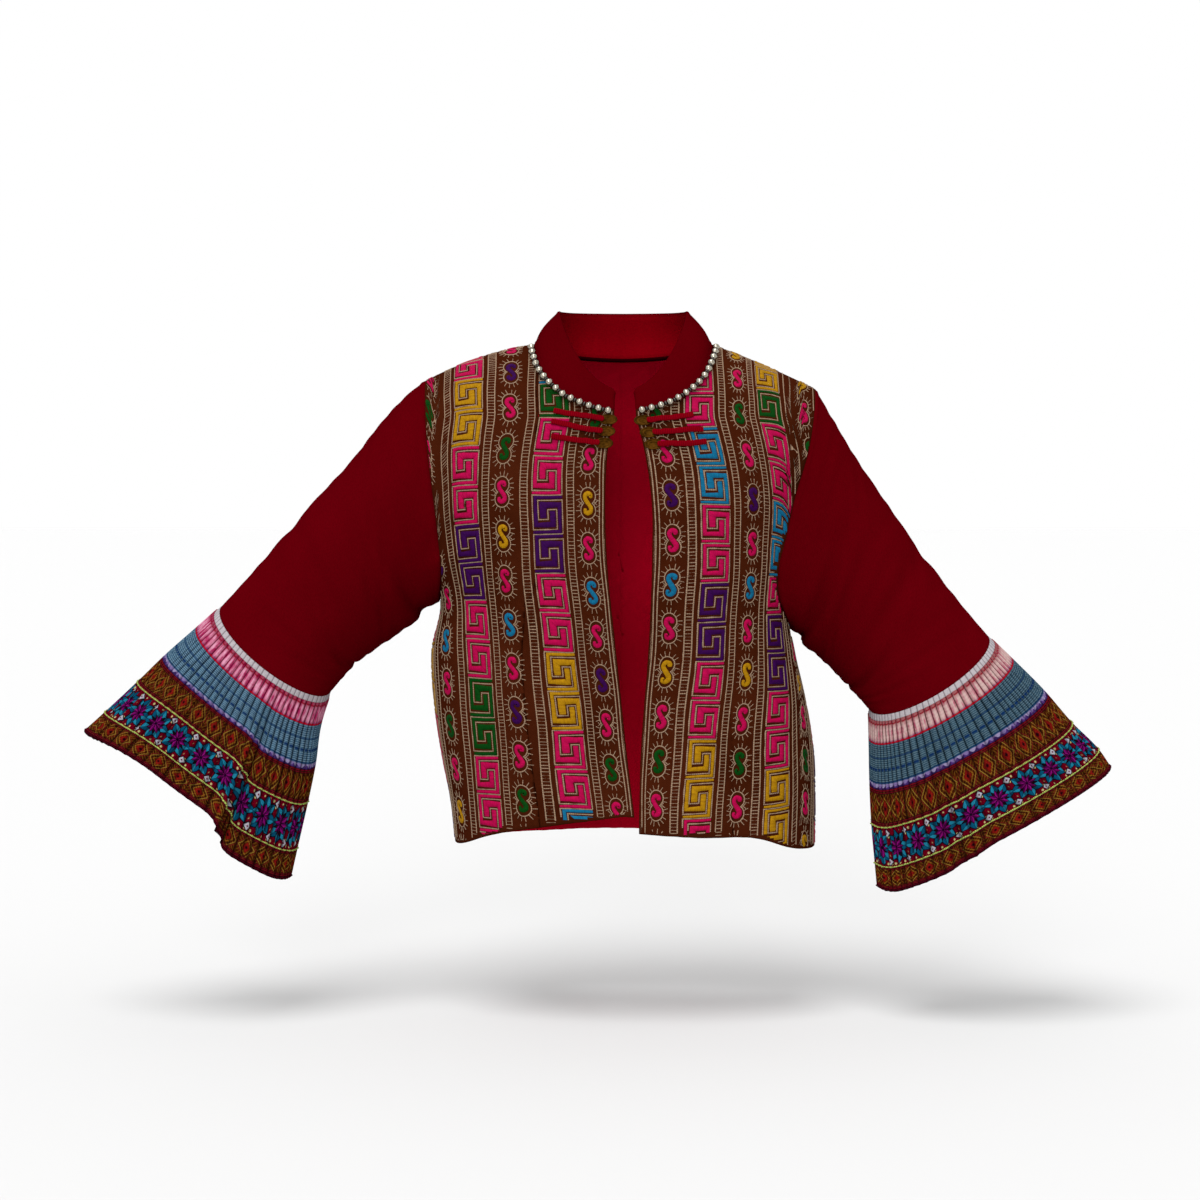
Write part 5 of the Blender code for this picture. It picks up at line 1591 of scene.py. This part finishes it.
def makeTab(name, outer, tip, seedNumber):
    bend = wobble(seedNumber, 4)
    count, sides = tabs["stations"], tabs["sides"]
    run = unit(frontPoint(*tip) - frontPoint(*outer))
    rings, maps = [], []
    length = np.linalg.norm(frontPoint(*tip) - frontPoint(*outer))
    for k in range(count):
        share = k / (count - 1)
        x = outer[0] + (tip[0] - outer[0]) * share
        z = outer[1] + (tip[1] - outer[1]) * share
        z += tabs["waver"] * (bend[0] * math.sin(math.pi * 2 * share) + bend[1] * math.sin(math.pi * share))
        normal = frontNormal(x, z)
        across = unit(np.cross(normal, run))
        climb = float(ramp((share - 0.52) / 0.22))
        lift = tabs["lift"] + climb * (tabs["discLift"] + tabs["discThickness"] - 0.0004)
        roundEnd = math.sqrt(max(1 - max(share - 0.955, 0) ** 2 / 0.045**2, 0.0)) if share > 0.955 else 1.0
        squareEnd = min(1.0, 0.72 + share * 24)
        wide = tabs["width"] / 2 * roundEnd * squareEnd * (1 + 0.05 * bend[2] * math.sin(share * 23))
        tall = tabs["thickness"] / 2 * max(roundEnd, 0.15) * squareEnd
        bump = 1 + 0.05 * math.sin(k * 1.9)
        middle = frontPoint(x, z) + normal * (lift + tabs["thickness"] / 2)
        ring = []
        for s in range(sides):
            angle = 2 * math.pi * s / sides
            c, d = math.cos(angle), math.sin(angle)
            c = math.copysign(abs(c) ** 0.7, c)
            d = math.copysign(abs(d) ** 0.8, d)
            ring.append(middle + across * wide * bump * c + normal * tall * bump * d)
            maps.append((share * length, s / sides * 0.012))
        rings.append(ring)
    points = np.array(rings).reshape(-1, 3)
    ends = np.array((np.mean(rings[0], axis=0), np.mean(rings[-1], axis=0)))
    faces = []
    for k in range(count - 1):
        for s in range(sides):
            n = (s + 1) % sides
            faces.append((k * sides + s, k * sides + n, (k + 1) * sides + n, (k + 1) * sides + s))
    size = count * sides
    for s in range(sides):
        n = (s + 1) % sides
        faces.append((s, n, size))
        faces.append(((count - 1) * sides + s, (count - 1) * sides + n, size + 1))
    mesh = bpy.data.meshes.new(name)
    mesh.from_pydata(np.concatenate((points, ends)), [], faces)
    maps += [(0.0, 0.0), (length, 0.0)]
    layer = mesh.uv_layers.new(name="cloth")
    for loop in mesh.loops:
        layer.data[loop.index].uv = maps[loop.vertex_index]
    bm = bmesh.new()
    bm.from_mesh(mesh)
    bmesh.ops.recalc_face_normals(bm, faces=bm.faces)
    bm.to_mesh(mesh)
    bm.free()
    mesh.shade_smooth()
    mesh.materials.append(redCord)
    made = bpy.data.objects.new(name, mesh)
    bpy.context.collection.objects.link(made)
    return made


def makeDisc(name, tip, toward):
    x, z = tip[0] + toward * tabs["discWidth"] * 0.18, tip[1]
    normal = frontNormal(x, z)
    across = unit(np.cross(np.array((0.0, 0.0, 1.0)), normal))
    upward = np.cross(normal, across)
    thick = tabs["discThickness"]
    profile = [(0.0, 0.10), (0.30, 0.12), (0.42, 0.30), (0.52, 0.62), (0.60, 0.42), (0.74, 0.46), (0.84, 0.95),
               (0.93, 1.0), (1.0, 0.62), (0.985, 0.10), (0.93, 0.0), (0.0, 0.0)]
    made = lathe(name, [(r * 0.5, h) for r, h in profile], 40)
    for vertex in made.data.vertices:
        r = math.hypot(vertex.co[0], vertex.co[1]) * 2
        vertex.co[0] *= tabs["discWidth"]
        vertex.co[1] *= tabs["discHeight"]
        vertex.co[2] *= thick
        vertex.co[2] += 0.0006 * r * r * (1 if vertex.co[0] * toward < 0 else 0.2)
    settle(made, frontPoint(x, z) + normal * tabs["discLift"], across, upward, normal)
    made.data.materials.append(brass)
    made.data.shade_smooth()
    return made


for side in ("left", "right"):
    for number, (outer, tip) in enumerate(tabs[side], 1):
        piece = makeTab(f"corded_tab_{side}_{number}", outer, tip, 70 + number + (10 if side == "right" else 0))
        sewn(piece, "red_cord", f"tab_{side}_{number}")
        piece = makeDisc(f"brass_disc_{side}_{number}", tip, -signOf[side])
        sewn(piece, "old_brass", f"disc_{side}_{number}")
print("jacket: tabs and discs")


# floor, light and camera

studio = {
    "floor": -0.735, "floorSize": 60.0, "world": 1.0, "sun": 2.2, "sunAngle": 32.0, "front": 1.25, "frontAngle": 24.0,
    "target": (-0.0253, 0.0, -0.2805), "elevation": 2.5, "distance": 3.0, "lens": 81.8,
}
bpy.ops.mesh.primitive_plane_add(size=studio["floorSize"], location=(0, 0, studio["floor"]))
floor = bpy.context.object
floor.name = "studio_floor"
floorLook = Finish("pale_floor", 0.9, specular=0.1)
floorLook.finish((0.56, 0.56, 0.56))
floor.data.materials.append(floorLook.made)
world = bpy.data.worlds.new("soft_white_studio")
world.use_nodes = True
world.node_tree.nodes["Background"].inputs[0].default_value = (1.0, 1.0, 1.0, 1.0)
world.node_tree.nodes["Background"].inputs[1].default_value = studio["world"]
bpy.context.scene.world = world
sun = bpy.data.lights.new("soft_top_light", "SUN")
sun.energy, sun.angle = studio["sun"], math.radians(studio["sunAngle"])
sunObject = bpy.data.objects.new("soft_top_light", sun)
sunObject.rotation_euler = (math.radians(24), math.radians(-10), 0)
bpy.context.collection.objects.link(sunObject)
front = bpy.data.lights.new("soft_front_light", "SUN")
front.energy, front.angle = studio["front"], math.radians(studio["frontAngle"])
frontObject = bpy.data.objects.new("soft_front_light", front)
frontObject.rotation_euler = (math.radians(70), 0, math.radians(-6))
bpy.context.collection.objects.link(frontObject)
camera = bpy.data.cameras.new("camera")
camera.lens, camera.sensor_width, camera.clip_end = studio["lens"], 36.0, 200.0
cameraObject = bpy.data.objects.new("camera", camera)
tilt = math.radians(studio["elevation"])
cameraObject.location = (studio["target"][0], -studio["distance"] * math.cos(tilt),
                         studio["target"][2] + studio["distance"] * math.sin(tilt))
cameraObject.rotation_euler = (math.pi / 2 - tilt, 0, 0)
bpy.context.collection.objects.link(cameraObject)
bpy.context.scene.camera = cameraObject
bpy.context.scene.view_settings.view_transform = "Standard"

print("jacket: studio set")
